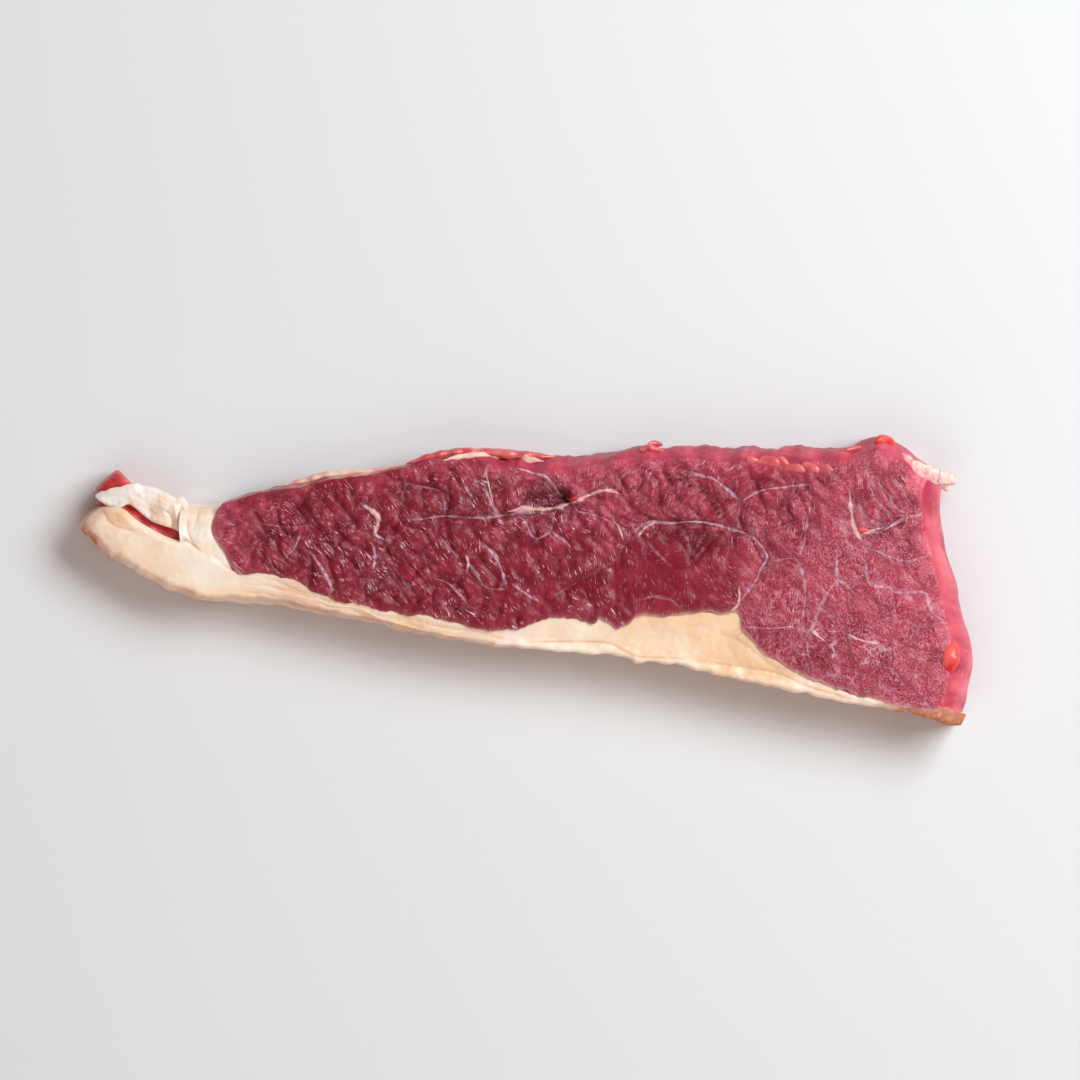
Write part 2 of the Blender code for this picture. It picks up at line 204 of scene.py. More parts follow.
# Cream and pink tissue lying in the cut face: how deep it is sunk (below zero: raised), half width, and
# its course
CREAM_TISSUE = [
    (-0.15, 0.30, [(-15.8, 6.4), (-15.2, 4.6), (-15.6, 2.4)]),
    (-0.15, 0.50, [(-41.6, 19.0), (-40.2, 17.6), (-39.3, 16.2), (-39.6, 13.8), (-40.3, 12.4)]),
    (-0.40, 0.55, [(-4.5, 18.2), (0, 18.9), (5, 18.9), (9, 19.4), (12, 20.6)]),
    (-0.30, 0.50, [(12.6, 20.6), (14.8, 21.6), (18, 22.9), (21.5, 23.8), (24.8, 23.0)]),
    (-0.20, 0.40, [(86.4, 23.6), (86.6, 20), (87.2, 15.4), (88.2, 12.4), (89.4, 10.6)]),
    (-0.20, 0.45, [(90.2, 12.4), (92.5, 13.0), (95, 13.8)]),
    (-0.10, 0.30, [(54.8, -8.2), (56.4, -7.0), (57.0, -4.4), (56.8, -2.2)]),
    (-0.10, 0.25, [(30.0, 11.6), (32.0, 14.0), (34.6, 15.4)]),
    (-0.10, 0.20, [(23.4, 16.0), (25.0, 13.6), (26.0, 10.8)]),
    (-0.05, 0.14, [(-10.8, 29.5), (-9.6, 24.5), (-8.4, 19.6)]),
    (-0.12, 0.35, [(76.4, -13.6), (78.0, -15.0), (79.6, -16.2)]),
    (-0.12, 0.30, [(86, -14.6), (89.5, -16.2), (93.8, -17.0)]),
    (-0.25, 1.5, [(101.2, 33.4), (103, 31.3), (106, 28.8), (109.5, 27.0), (112, 26.0)]),
]

# Smooth rises of the cut face: x, y, half length along x, half width along y, and height
RISES = [(43, 2, 15, 13, 0.55), (59, 5, 5, 9, 0.45), (66, -6, 8, 10, 0.25), (41, -6.5, 3.5, 2.5, 0.5)]

BUNDLE_DEPTH, BUNDLE_SINK = 0.62, 0.40
FOLD_TURN, FOLD_STRETCH, FOLD_TOP = np.radians(-52), 1.6, 1.4
FOLD_SIZE, FOLD_DEPTH = 8.5, 0.62
SMALL_FOLD_SIZE, SMALL_FOLD_DEPTH = 4.2, 0.26
FOLD_SINK = 0.50
CEILING_BEND = 6


def smooth_line(points, count):
    """count + 1 places, evenly spaced, along the smooth curve (a Catmull-Rom spline) through the
    points."""
    given = np.array(points, float)
    ends = np.vstack([2 * given[0] - given[1], given, 2 * given[-1] - given[-2]])
    before, start, end, after = ends[:-3, None], ends[1:-2, None], ends[2:-1, None], ends[3:, None]
    t = np.linspace(0, 1, 24, endpoint=False)[None, :, None]
    curve = start + 0.5 * t * (
        end - before
        + t * (2 * before - 5 * start + 4 * end - after + t * (3 * (start - end) + after - before))
    )
    line = np.vstack([curve.reshape(-1, given.shape[1]), given[-1:]])
    travelled = np.concatenate([[0], np.cumsum(np.linalg.norm(np.diff(line, axis=0), axis=1))])
    wanted = np.linspace(0, travelled[-1], count + 1)
    return np.stack([np.interp(wanted, travelled, line[:, k]) for k in range(given.shape[1])], axis=1)


def beside(line, distance):
    """The line moved sideways to its left by a distance, which may change along it."""
    along = np.gradient(line, axis=0)
    along /= np.linalg.norm(along, axis=1, keepdims=True)
    return line + np.reshape(distance, (-1, 1)) * np.stack([-along[:, 1], along[:, 0]], axis=1)


def rise(value, start, length):
    """A number that goes from 0 at start to 1 a length further on, and stays there; a length below zero
    counts down."""
    return np.clip((value - start) / length, 0, 1)


def bell(distance, reach):
    """exp(-(distance / reach) squared): 1 at no distance, falling smoothly to 0."""
    return np.exp(-((distance / reach) ** 2))


def fade(distance, reach):
    """exp(-distance / reach): 1 at no distance, falling at once."""
    return np.exp(-distance / reach)


def patch(near, far, left, right):
    """A Coons patch: the two ruled sheets between opposite edges, added, less the one through the
    corners."""
    u = np.linspace(0, 1, len(near))[:, None, None]
    v = np.linspace(0, 1, len(left))[None, :, None]
    ruled = (1 - v) * near[:, None] + v * far[:, None] + (1 - u) * left[None] + u * right[None]
    corners = (1 - u) * ((1 - v) * near[0] + v * far[0]) + u * ((1 - v) * near[-1] + v * far[-1])
    return ruled - corners


def moved_in(plan, share, slopes, tuck=TUCK):
    """The plan at a share of the height: each edge stands in by slope times the share above the widest
    level to a power, and by tuck times the share below it squared, and the places behind it follow less
    and less."""
    u = np.linspace(0, 1, plan.shape[0])[:, None]
    v = np.linspace(0, 1, plan.shape[1])[None, :]
    across = np.gradient(plan, axis=1)
    along = np.gradient(plan, axis=0)
    across /= np.linalg.norm(across, axis=2, keepdims=True)
    along /= np.linalg.norm(along, axis=2, keepdims=True)
    room = np.clip(np.linalg.norm(plan[:, -1] - plan[:, 0], axis=1)[:, None] / FULL_LEAN_WIDTH, 0, 1)
    above = np.clip((share - WIDEST) / (1 - WIDEST), 0, 1) ** SLOPE_POWER
    below = np.clip((WIDEST - share) / WIDEST, 0, 1) ** 2
    edges = [((1 - v) ** 6, across), (v**6, -across), ((1 - u) ** 24, along), (u**24, -along)]
    moved = plan.copy()
    for (closeness, inwards), slope in zip(edges, slopes):
        if np.any(slope):
            moved += (closeness * room * (slope * above + tuck * below))[..., None] * inwards
    return moved


def rim(grid):
    """The outermost ring of a grid, anticlockwise from its first corner."""
    return np.concatenate([grid[:-1, 0], grid[-1, :-1], grid[:0:-1, -1], grid[0, :0:-1]])


def edge_distances(plan):
    """How far each place of a plan is from its near, far, left and right edges, measured along the
    grid."""
    near = np.linalg.norm(plan - plan[:, :1], axis=2)
    far = np.linalg.norm(plan - plan[:, -1:], axis=2)
    left = np.linalg.norm(plan - plan[:1], axis=2)
    right = np.linalg.norm(plan - plan[-1:], axis=2)
    return near, far, left, right


def upper_face(plan, slopes):
    """The plan of a slab's upper face, its places along x and y, and their distances from its four
    edges."""
    inner = moved_in(plan, 1, slopes)
    return inner, inner[..., 0], inner[..., 1], edge_distances(inner)


def rounded(distance, radius, drop):
    """How far a face falls towards its edge: drop times the square of what is missing from the
    radius."""
    return drop * np.clip(1 - distance / radius, 0, 1) ** 2


def waves(x, y, size, seed, count=14):
    """A smooth uneven field with a spread of 1: sine waves about size long, in random directions, added
    up."""
    chance = np.random.default_rng(seed)
    turn, phase = chance.uniform(0, 2 * np.pi, (2, count))
    pitch = 2 * np.pi / (size * chance.uniform(0.7, 1.4, count))
    total = 0
    for k in range(count):
        total = total + np.sin(pitch[k] * (x * np.cos(turn[k]) + y * np.sin(turn[k])) + phase[k])
    return total * np.sqrt(2 / count)


def cells(x, y, size, seed):
    """Voronoi cells of one random point in each square of a grid: how much further the second nearest
    point is than the nearest, a random number for each cell, and the distance to the nearest point."""
    scatter = np.random.default_rng(seed).uniform(0, 1, (3, 64, 64))
    column, row = np.floor(x / size), np.floor(y / size)
    nearest = np.full(x.shape, 1e9)
    second = np.full(x.shape, 1e9)
    number = np.zeros(x.shape)
    for i in (-1, 0, 1):
        for j in (-1, 0, 1):
            a, b = (column + i).astype(int) % 64, (row + j).astype(int) % 64
            dx = (column + i + scatter[0, a, b]) * size - x
            dy = (row + j + scatter[1, a, b]) * size - y
            far = np.hypot(dx, dy)
            second = np.minimum(second, np.maximum(far, nearest))
            number = np.where(far < nearest, scatter[2, a, b], number)
            nearest = np.minimum(far, nearest)
    return second - nearest, number, nearest


LINE_STEP, LINE_END = 0.8, 0.15


def along_lines(x, y, lines, margin=5.0):
    """For every place: the depth of all the furrows there, exp(-distance / width) each, the paleness of
    the nearest line, fading to its ends and sideways, and the distance from it, counted below zero on
    its right."""
    depth = np.zeros(x.shape)
    closest = np.full(x.shape, 99.0)
    side = np.full(x.shape, 99.0)
    pale = np.zeros(x.shape)
    for furrow, paleness, points in lines:
        length = np.linalg.norm(np.diff(np.array(points, float), axis=0), axis=1).sum()
        line = smooth_line(points, max(4, int(length / LINE_STEP)))
        low, high = line.min(axis=0) - margin, line.max(axis=0) + margin
        here = (x > low[0]) & (x < high[0]) & (y > low[1]) & (y < high[1])
        px, py = x[here][:, None], y[here][:, None]
        start, step = line[:-1], np.diff(line, axis=0)
        share = ((px - start[:, 0]) * step[:, 0] + (py - start[:, 1]) * step[:, 1]) / (step**2).sum(axis=1)
        share = np.clip(share, 0, 1)
        dx, dy = px - start[:, 0] - share * step[:, 0], py - start[:, 1] - share * step[:, 1]
        gap = np.hypot(dx, dy)
        best = gap.argmin(axis=1)
        row = np.arange(len(best))
        gap, dx, dy, share = gap[row, best], dx[row, best], dy[row, best], share[row, best]
        travelled = (best + share) / len(step)
        inner = rise(np.minimum(travelled, 1 - travelled), 0, LINE_END)
        side_here = gap * np.sign(step[best, 0] * dy - step[best, 1] * dx)
        depth[here] += furrow * np.exp(-gap / (0.6 + 0.4 * furrow)) * (0.3 + 0.7 * inner)
        nearer = gap < closest[here]
        index = np.flatnonzero(here)[nearer]
        closest.flat[index] = gap[nearer]
        side.flat[index] = side_here[nearer]
        pale.flat[index] = (paleness * (0.25 + 0.75 * inner) * np.clip(2 - gap, 0, 1))[nearer]
    return depth, pale, side


def patchy(x, y, table, column):
    """A column of a table of patches at every place: the mean, weighted by exp(-(distance / reach)
    squared)."""
    total, weight = 0, 1e-9
    for row in table:
        share = np.exp(-((x - row[0]) ** 2 + (y - row[1]) ** 2) / row[2] ** 2) + 1e-7
        total = total + share * row[column]
        weight = weight + share
    return total / weight


def regional(x, y, column):
    """A column of the table of regions at every place of the cut face."""
    return patchy(x, y, REGIONS, column)


DARTS, DART_SPACING = 7000, 0.42


def throw_darts():
    """Middles of the bundles, thrown at random over the slice and kept where they are clear of those
    before."""
    chance = np.random.default_rng(11)
    kept = []
    sizes = []
    darts = chance.uniform((-90, -40), (125, 42), (DARTS, 2))
    for dart, size in zip(darts, regional(darts[:, 0], darts[:, 1], BUNDLE_WIDTH)):
        gaps = np.linalg.norm(np.reshape(kept, (-1, 2)) - dart, axis=1)
        if (gaps > DART_SPACING * (size + np.array(sizes))).all():
            kept.append(dart)
            sizes.append(size)
    return np.array(kept)


def bundle_cells(x, y):
    """The bundle that each place belongs to: Voronoi cells round the darts, stretched along the fibres.
    Gives how much further the second nearest dart is, the place counted along and across the bundle's
    own fibres, and its number."""
    darts = throw_darts()
    chance = np.random.default_rng(5)
    angle = np.radians(regional(darts[:, 0], darts[:, 1], FIBRE_ANGLE) + chance.normal(0, 12, len(darts)))
    number = chance.uniform(0, 1, len(darts))
    stretch = regional(darts[:, 0], darts[:, 1], BUNDLE_STRETCH)
    flat_x, flat_y = x.ravel(), y.ravel()
    edge, along, across, which = (np.empty(flat_x.size) for _ in range(4))
    for part in np.array_split(np.arange(flat_x.size), 40):
        dx = flat_x[part][:, None] - darts[:, 0]
        dy = flat_y[part][:, None] - darts[:, 1]
        u = dx * np.cos(angle) + dy * np.sin(angle)
        v = dy * np.cos(angle) - dx * np.sin(angle)
        far = np.hypot(u / stretch, v * stretch)
        nearest = far.argmin(axis=1)
        row = np.arange(len(part))
        first = far[row, nearest]
        far[row, nearest] = 1e9
        edge[part] = far.min(axis=1) - first
        along[part] = u[row, nearest]
        across[part] = v[row, nearest]
        which[part] = number[nearest]
    return tuple(values.reshape(x.shape) for values in (edge, along, across, which))


SHARP_ANGLE = np.radians(75)


def placed(name, data):
    """An object in the scene, made of the data."""
    thing = bpy.data.objects.new(name, data)
    bpy.context.scene.collection.objects.link(thing)
    return thing


def closed_skin(name, face, side, finishes):
    """A mesh from the grid of its upper face and the loops of its side, top to bottom, shut below by one
    flat face. The first finish is for the face and sides, the second for the flat face below."""
    columns, rows = face.shape[:2]
    index = np.arange(columns * rows).reshape(columns, rows)
    side_index = index.size + np.arange(side.shape[0] * side.shape[1]).reshape(side.shape[:2])
    loops = np.vstack([rim(index), side_index])
    after = np.roll(loops, -1, axis=1)
    top = np.stack([index[:-1, :-1], index[1:, :-1], index[1:, 1:], index[:-1, 1:]], axis=-1).reshape(-1, 4)
    around = np.stack([loops[:-1], loops[1:], after[1:], after[:-1]], axis=-1).reshape(-1, 4)
    places = np.concatenate([face.reshape(-1, 3), side.reshape(-1, 3)]) * MM
    data = bpy.data.meshes.new(name)
    data.from_pydata(places, [], top.tolist() + around.tolist() + [loops[-1, ::-1].tolist()])
    for finish in finishes:
        data.materials.append(finish)
    below = np.zeros(len(data.polygons), np.int32)
    below[-1] = len(finishes) - 1
    data.polygons.foreach_set("material_index", below)
    data.shade_smooth()
    data.set_sharp_from_angle(angle=SHARP_ANGLE)
    return placed(name, data)


def paint(thing, **values):
    """Puts numbers on the mesh's vertices, for its material to read by name. A pair of numbers becomes a
    UV map."""
    data = thing.data
    for name, numbers in values.items():
        numbers = np.asarray(numbers, float)
        if numbers.ndim == 1:
            data.attributes.new(name, "FLOAT", "POINT").data.foreach_set("value", numbers)
        else:
            corners = np.empty(len(data.loops), np.int32)
            data.loops.foreach_get("vertex_index", corners)
            data.uv_layers.new(name=name).data.foreach_set("uv", numbers[corners].ravel())


DENT_LENGTH = 13.0


def side_loops(plan, slopes, face, bottom=0.0, loops=SIDE_LOOPS, hollow=0.35, seed=1, tuck=TUCK):
    """The side of a slab, from just under the rim of its face down to its bottom edge: the plan's
    outline at each share of the height, taken in by up to twice hollow in uneven dents that fade out at
    the rim."""
    shares = 1 - np.linspace(0, 1, loops + 1)[1:] ** 1.15
    rim_height = rim(face[..., 2])
    side = []
    for share in shares:
        ring = rim(moved_in(plan, share, slopes, tuck))
        inwards = np.roll(ring, 1, axis=0) - np.roll(ring, -1, axis=0)
        inwards = np.stack([inwards[:, 1], -inwards[:, 0]], axis=1)
        inwards /= np.linalg.norm(inwards, axis=1, keepdims=True) + 1e-9
        travelled = np.cumsum(np.linalg.norm(ring - np.roll(ring, 1, axis=0), axis=1))
        height = bottom + share * (rim_height - bottom)
        dents = np.clip(waves(travelled, 0.7 * height, DENT_LENGTH, seed), -1, 1)
        dents = hollow * (1 + dents) * min(1, 3 * (1 - share))
        side.append(np.column_stack([ring + dents[:, None] * inwards, height]))
    return np.array(side)


# A finish reads what is painted on the mesh by name, such as its tone, the painted shade of its furrows,
# and its seams, and lays noises over it.

def add(tree, kind, inputs=None, **settings):
    """One shader node with its settings, and each of its inputs given a value or joined to another
    node."""
    made = tree.nodes.new(kind)
    for key, value in settings.items():
        setattr(made, key, value)
    for key, value in (inputs or {}).items():
        if isinstance(value, bpy.types.NodeSocket):
            tree.links.new(value, made.inputs[key])
        else:
            made.inputs[key].default_value = value
    return made


FLESH_DEPTH = 1.5


def start_finish(name, roughness, ior=1.4, coat=0.0, coat_roughness=0.1, flesh=0.0, reach=(1, 0.3, 0.2)):
    """A material with a Principled shader, whose even properties are set on the shader itself."""
    made = bpy.data.materials.new(name)
    made.use_nodes = True
    shader = made.node_tree.nodes["Principled BSDF"]
    shader.inputs["Roughness"].default_value = roughness
    shader.inputs["IOR"].default_value = ior
    shader.inputs["Coat Weight"].default_value = coat
    shader.inputs["Coat Roughness"].default_value = coat_roughness
    shader.inputs["Subsurface Weight"].default_value = flesh
    shader.inputs["Subsurface Radius"].default_value = reach
    shader.inputs["Subsurface Scale"].default_value = FLESH_DEPTH * MM
    return made, made.node_tree, shader


def mix(tree, factor, first, second):
    """One colour laid over another."""
    return add(tree, "ShaderNodeMix", {0: factor, 6: first, 7: second}, data_type="RGBA").outputs[2]


def sums(tree, kind, first, second):
    """Arithmetic on two numbers."""
    return add(tree, "ShaderNodeMath", {0: first, 1: second}, operation=kind).outputs[0]


def plus(tree, first, second):
    """Two numbers added."""
    return sums(tree, "ADD", first, second)


def times(tree, first, second):
    """Two numbers multiplied."""
    return sums(tree, "MULTIPLY", first, second)


def painted(tree, name):
    """A number painted on the mesh."""
    return add(tree, "ShaderNodeAttribute", attribute_name=name).outputs["Fac"]


def between(tree, value, low, high, bottom=0.0, top=1.0):
    """A number turned smoothly from one range to another."""
    span = {0: value, 1: low, 2: high, 3: bottom, 4: top}
    return add(tree, "ShaderNodeMapRange", span, interpolation_type="SMOOTHSTEP").outputs[0]


def noise(tree, where, scale, detail=2.0, roughness=0.5):
    """Cloudy noise, from 0 to 1, with scale lumps to the unit of its coordinates."""
    inputs = {"Vector": where, "Scale": scale, "Detail": detail, "Roughness": roughness}
    return add(tree, "ShaderNodeTexNoise", inputs).outputs["Fac"]


def stretched(tree, where, along, across, turn=0.0):
    """Coordinates scaled along their first and second axes, after a turn."""
    inputs = {"Vector": where, "Scale": (along, across, 1.0), "Rotation": (0.0, 0.0, turn)}
    return add(tree, "ShaderNodeMapping", inputs).outputs[0]


def rough_up(tree, shader, *layers):
    """Bumps laid one over another: each layer is a height from 0 to 1 and how many millimetres that
    stands for."""
    normal = None
    for height, size in layers:
        inputs = {"Height": height, "Distance": size * MM, "Strength": 1.0}
        if normal:
            inputs["Normal"] = normal
        normal = add(tree, "ShaderNodeBump", inputs).outputs[0]
    tree.links.new(normal, shader.inputs["Normal"])


def contour(tree, value, wide):
    """Thin lines wherever a noise passes through its middle."""
    gap = sums(tree, "ABSOLUTE", sums(tree, "SUBTRACT", value, 0.5), 0)
    return between(tree, gap, 0.15 * wide, wide, 1, 0)


def muscle_finish():
    """Wet muscle: dark to pale by tone, with painted highlights as short strokes along the fibres, a fine
    crinkled grain that is partly painted sheen, pale seams of uneven width, and painted shade in its
    furrows and creases."""
    made, tree, shader = start_finish("wet_muscle", 0.38, ior=1.33, flesh=0.12)
    fibre = add(tree, "ShaderNodeUVMap", uv_map="fibre").outputs[0]
    where = add(tree, "ShaderNodeTexCoord").outputs["Object"]
    mottle = noise(tree, where, 240, 3)
    breaks = noise(tree, where, 620, 2)
    tone = plus(tree, painted(tree, "tone"), between(tree, mottle, 0.25, 0.75, -0.07, 0.07))
    tone = plus(tree, tone, between(tree, breaks, 0.25, 0.75, -0.06, 0.06))
    ramp = add(tree, "ShaderNodeValToRGB", {0: times(tree, tone, 0.5)})
    stops = ramp.color_ramp.elements
    stops[0].color = (0.210, 0.0060, 0.0190, 1)
    stops[1].color = (0.86, 0.180, 0.220, 1)
    stops.new(0.5).color = (0.50, 0.048, 0.085, 1)
    colour = ramp.outputs[0]
    # Painted shade: the colour darkens in the creases and furrows, as the furrow attribute says
    furrow = times(tree, painted(tree, "furrow"), 0.75)
    colour = mix(tree, furrow, colour, (0.095, 0.003, 0.008, 1))

    # A fine pale crinkle: partly the muscle's own grain, partly painted sheen
    crinkle_sheen = contour(tree, noise(tree, stretched(tree, fibre, 0.8, 1.3), 1.0, 1.5, 0.6), 0.055)
    crinkle_sheen = times(tree, crinkle_sheen, painted(tree, "grain"))
    colour = mix(tree, times(tree, crinkle_sheen, 0.50), colour, (0.76, 0.37, 0.47, 1))

    threads = noise(tree, stretched(tree, fibre, 0.45, 3.0), 1.0, 1)
    # Painted highlights: short pale strokes along the fibres, where the wet muscle glints; they are raised
    # a little too
    strokes = between(tree, threads, 0.62, 0.675)
    strokes = times(tree, strokes, between(tree, noise(tree, where, 260, 1), 0.42, 0.56))
    strokes = times(tree, strokes, painted(tree, "gloss"))
    colour = mix(tree, times(tree, strokes, 0.95), colour, (0.92, 0.60, 0.66, 1))

    shaken = add(tree, "ShaderNodeTexNoise", {"Vector": where, "Scale": 300, "Detail": 2}).outputs["Color"]
    shaken = add(tree, "ShaderNodeVectorMath", {0: shaken, "Scale": 0.0035}, operation="SCALE").outputs[0]
    shaken = add(tree, "ShaderNodeVectorMath", {0: shaken, 1: where}, operation="ADD").outputs[0]
    net = add(tree, "ShaderNodeTexVoronoi", {"Vector": shaken, "Scale": 260}, feature="DISTANCE_TO_EDGE")
    net = times(tree, between(tree, net.outputs["Distance"], 0.02, 0.08, 1, 0), painted(tree, "grain"))
    net = times(tree, net, between(tree, mottle, 0.46, 0.62, 0.0, 0.25))
    net = times(tree, net, between(tree, painted(tree, "flecks"), 0, 1, 1, 3.5))
    colour = mix(tree, net, colour, (0.74, 0.47, 0.56, 1))

    gap = sums(tree, "ABSOLUTE", painted(tree, "side"), 0)
    width = between(tree, mottle, 0.35, 0.65, 0.18, 0.70)
    strength = times(tree, painted(tree, "pale"), between(tree, breaks, 0.35, 0.6, 0.25, 1))
    line = times(tree, between(tree, sums(tree, "DIVIDE", gap, width), 0.2, 1.0, 1, 0), strength)
    colour = mix(tree, line, colour, (0.72, 0.49, 0.60, 1))
    cream_gap = sums(tree, "ABSOLUTE", painted(tree, "cream_side"), 0)
    cream_width = times(tree, painted(tree, "cream"), between(tree, mottle, 0.30, 0.70, 0.5, 1.9))
    cream_gap = sums(tree, "DIVIDE", cream_gap, plus(tree, cream_width, 0.01))
    cream = between(tree, cream_gap, 0.4, 1.3, 0.85, 0)
    tissue = mix(tree, between(tree, breaks, 0.40, 0.62), (0.84, 0.52, 0.46, 1), (0.72, 0.30, 0.32, 1))
    colour = mix(tree, cream, colour, tissue)
    film = times(tree, painted(tree, "film"), between(tree, mottle, 0.3, 0.6, 0.4, 1))
    colour = mix(tree, film, colour, (0.80, 0.56, 0.48, 1))
    tree.links.new(colour, shader.inputs["Base Color"])
    tree.links.new(between(tree, mottle, 0.3, 0.7, 0.44, 0.34), shader.inputs["Roughness"])
    ridges = times(tree, sums(tree, "SUBTRACT", threads, 0.5), painted(tree, "fibres"))
    bumps = ((mottle, 0.08), (breaks, 0.03), (ridges, 0.07), (crinkle_sheen, 0.05), (strokes, 0.05))
    rough_up(tree, shader, *bumps, (line, 0.12), (cream, 0.15))
    return made


def underside_finish():
    """The face that it lies on: the same muscle, pressed flat and matt, with soft pale seams."""
    made, tree, shader = start_finish("pressed_muscle", 0.5, flesh=0.1)
    where = add(tree, "ShaderNodeTexCoord").outputs["Object"]
    inputs = {"Vector": where, "Scale": 110}
    seams = add(tree, "ShaderNodeTexVoronoi", inputs, feature="DISTANCE_TO_EDGE").outputs["Distance"]
    threads = noise(tree, stretched(tree, where, 500, 1800, 0.9), 1.0, 3)
    colour = mix(tree, threads, (0.20, 0.020, 0.040, 1), (0.36, 0.07, 0.11, 1))
    colour = mix(tree, between(tree, seams, 0.0, 0.05, 0.5, 0), colour, (0.60, 0.32, 0.38, 1))
    tree.links.new(colour, shader.inputs["Base Color"])
    rough_up(tree, shader, (threads, 0.1))
    return made


seam = smooth_line(SEAM, FACE_COLUMNS)
seam_x = seam[:, 0]
raggedness = 0.10 * waves(seam_x, 0 * seam_x, 2.2, 3) + 0.15 * waves(seam_x, 0 * seam_x, 7.0, 4)
trimmed = smooth_line(LEAN_FAR, FACE_COLUMNS)
trimmed_x = trimmed[:, 0]
lumps = 0.22 * waves(trimmed_x, 0 * trimmed_x, 12.0, 7) + 0.10 * waves(trimmed_x, 0 * trimmed_x, 3.0, 8)
lumps = lumps * rise(trimmed_x, -78, 20)
muscle_plan = patch(
    beside(seam, raggedness * rise(seam_x, 105, -20) * rise(seam_x, -78, 10)),
    beside(trimmed, np.minimum(lumps - 0.3, 0) * rise(trimmed_x, 108, -8)),
    smooth_line(LEAN_TIP, FACE_ROWS),
    smooth_line(BUTT_END, FACE_ROWS),
)
steeper = np.interp(muscle_plan[:, -1, 0], *np.transpose(TRIMMED_SHARES))[:, None]
muscle_slopes = (0, TRIMMED_SLOPE * steeper, 0, BUTT_SLOPE)
face_plan, X, Y, (to_seam, to_trimmed, to_tip, to_butt) = upper_face(muscle_plan, muscle_slopes)

lean_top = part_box("lean")[1][2] / MM
warp_x = X + 0.5 * waves(X, Y, 13, 21)
warp_y = Y + 0.5 * waves(X, Y, 13, 23)
edge, along, across, which = bundle_cells(warp_x, warp_y)
tilt = 2 * np.pi * 7 * which
relief = regional(X, Y, RELIEF) * (1 - 0.8 * bell(np.minimum(to_trimmed, to_butt), 3.5))
uneven = np.clip(0.65 + 0.45 * waves(X, Y, 11, 42), 0.15, 1)
furrows, pale, side_of_line = along_lines(X, Y, BUNDLE_SEAMS)
sunk, cream, side_of_cream = along_lines(X, Y, CREAM_TISSUE)


def slice_height(x):
    """The height of the cut face without its relief: nearly level, lower towards the tail."""
    return lean_top - 0.85 - 2.2 * rise(x, 95, -175) ** 2.5


tilted = 0.85 + 0.18 * (along * np.cos(tilt) + across * np.sin(tilt))
crest = 1 - bell(edge, 1.8)
bundles = BUNDLE_DEPTH * relief * uneven * tilted * crest - BUNDLE_SINK * relief
seamless = 1 - bell(edge, 0.8)
fold_x = X * np.cos(FOLD_TURN) + Y * np.sin(FOLD_TURN)
fold_y = Y * np.cos(FOLD_TURN) - X * np.sin(FOLD_TURN)
folds = np.abs(waves(fold_x / FOLD_STRETCH, fold_y, FOLD_SIZE, 45))
small_folds = np.abs(waves(fold_x / FOLD_STRETCH, fold_y, SMALL_FOLD_SIZE, 46))
fold_swell = np.minimum(folds, FOLD_TOP)
small_swell = np.minimum(small_folds, FOLD_TOP)
bundles += relief * (FOLD_DEPTH * fold_swell + SMALL_FOLD_DEPTH * small_swell - FOLD_SINK)
stretch = regional(X, Y, BUNDLE_STRETCH)
along = along + 97 * which
across = across + 61 * (13 * which % 1)
small_edge, small_number, _ = cells(along / (1.4 * stretch), across * stretch, 2.4, 8)
small_crest = 1 - bell(small_edge, 1.1)
bundles += relief * (0.04 + 0.12 * small_number) * small_crest * seamless
bundles += 0.10 * waves(X, Y, 6, 31) + 0.03 * seamless * waves(along / 1.5, across * 1.5, 1.8, 32)
bundles += sum(h * np.exp(-(((X - x) / a) ** 4 + ((Y - y) / b) ** 4)) for x, y, a, b, h in RISES)
off_seam = 1 - bell(np.minimum(to_seam, to_tip), 1.8)
furrowed = (0.6 + 0.5 * np.minimum(relief, 1)) * furrows
height = slice_height(X) + (bundles - furrowed - 0.6 * sunk) * off_seam
ceiling = lean_top - 0.05
height = ceiling - np.logaddexp(0, CEILING_BEND * (ceiling - height)) / CEILING_BEND
rim_wander = np.clip(1 + 0.35 * waves(X, Y, 9, 43), 0.4, 2)
height -= (
    rounded(to_seam, 0.5, 0.04)
    + rounded(to_trimmed, 4.4 * rim_wander, 1.7 * rim_wander)
    + rounded(to_tip, 0.6, 0.06)
)
height -= rounded(to_butt, 3.8 * rim_wander, 1.1 * rim_wander)
face = np.dstack([face_plan, height])
side = side_loops(muscle_plan, muscle_slopes, face)

# Tone rises a little on the tops of the folds and falls at their creases: painted light and shade
tone = regional(X, Y, TONE) + 0.26 * (which - 0.5) + 0.10 * (fold_swell - FOLD_TOP / 2) * relief
tone += 0.12 * (small_number - 0.5)
tone += 0.08 * waves(X, Y, 10, 41)
tone += 0.50 * bell(to_trimmed, 3.4 * rim_wander) * np.clip((X + 60) / 60, 0.1, 1)
tone += 0.75 * fade(to_butt, 2.0 * rim_wander)
broken = np.clip(0.55 + 0.6 * waves(X, Y, 6, 44), 0, 1)
# Painted shade: the colour is darkened in the creases of the folds, at the edges of the bundles and of the
# small cells, and along the furrows of the seams, where shade falls
creases = 0.35 * fade(edge, 0.35) * uneven + fade(folds, 0.14)
creases += 0.40 * fade(small_folds, 0.12)
seam_shade = (0.5 + 0.6 * np.minimum(relief, 1)) * furrows**1.2 * (1 - 0.5 * pale)
painted_crease_shade = creases * relief**1.5 * broken + seam_shade
painted_crease_shade = np.clip(painted_crease_shade + 0.06 * fade(small_edge, 0.3) * relief, 0, 1)
bundle_shine = 37 * which % 1
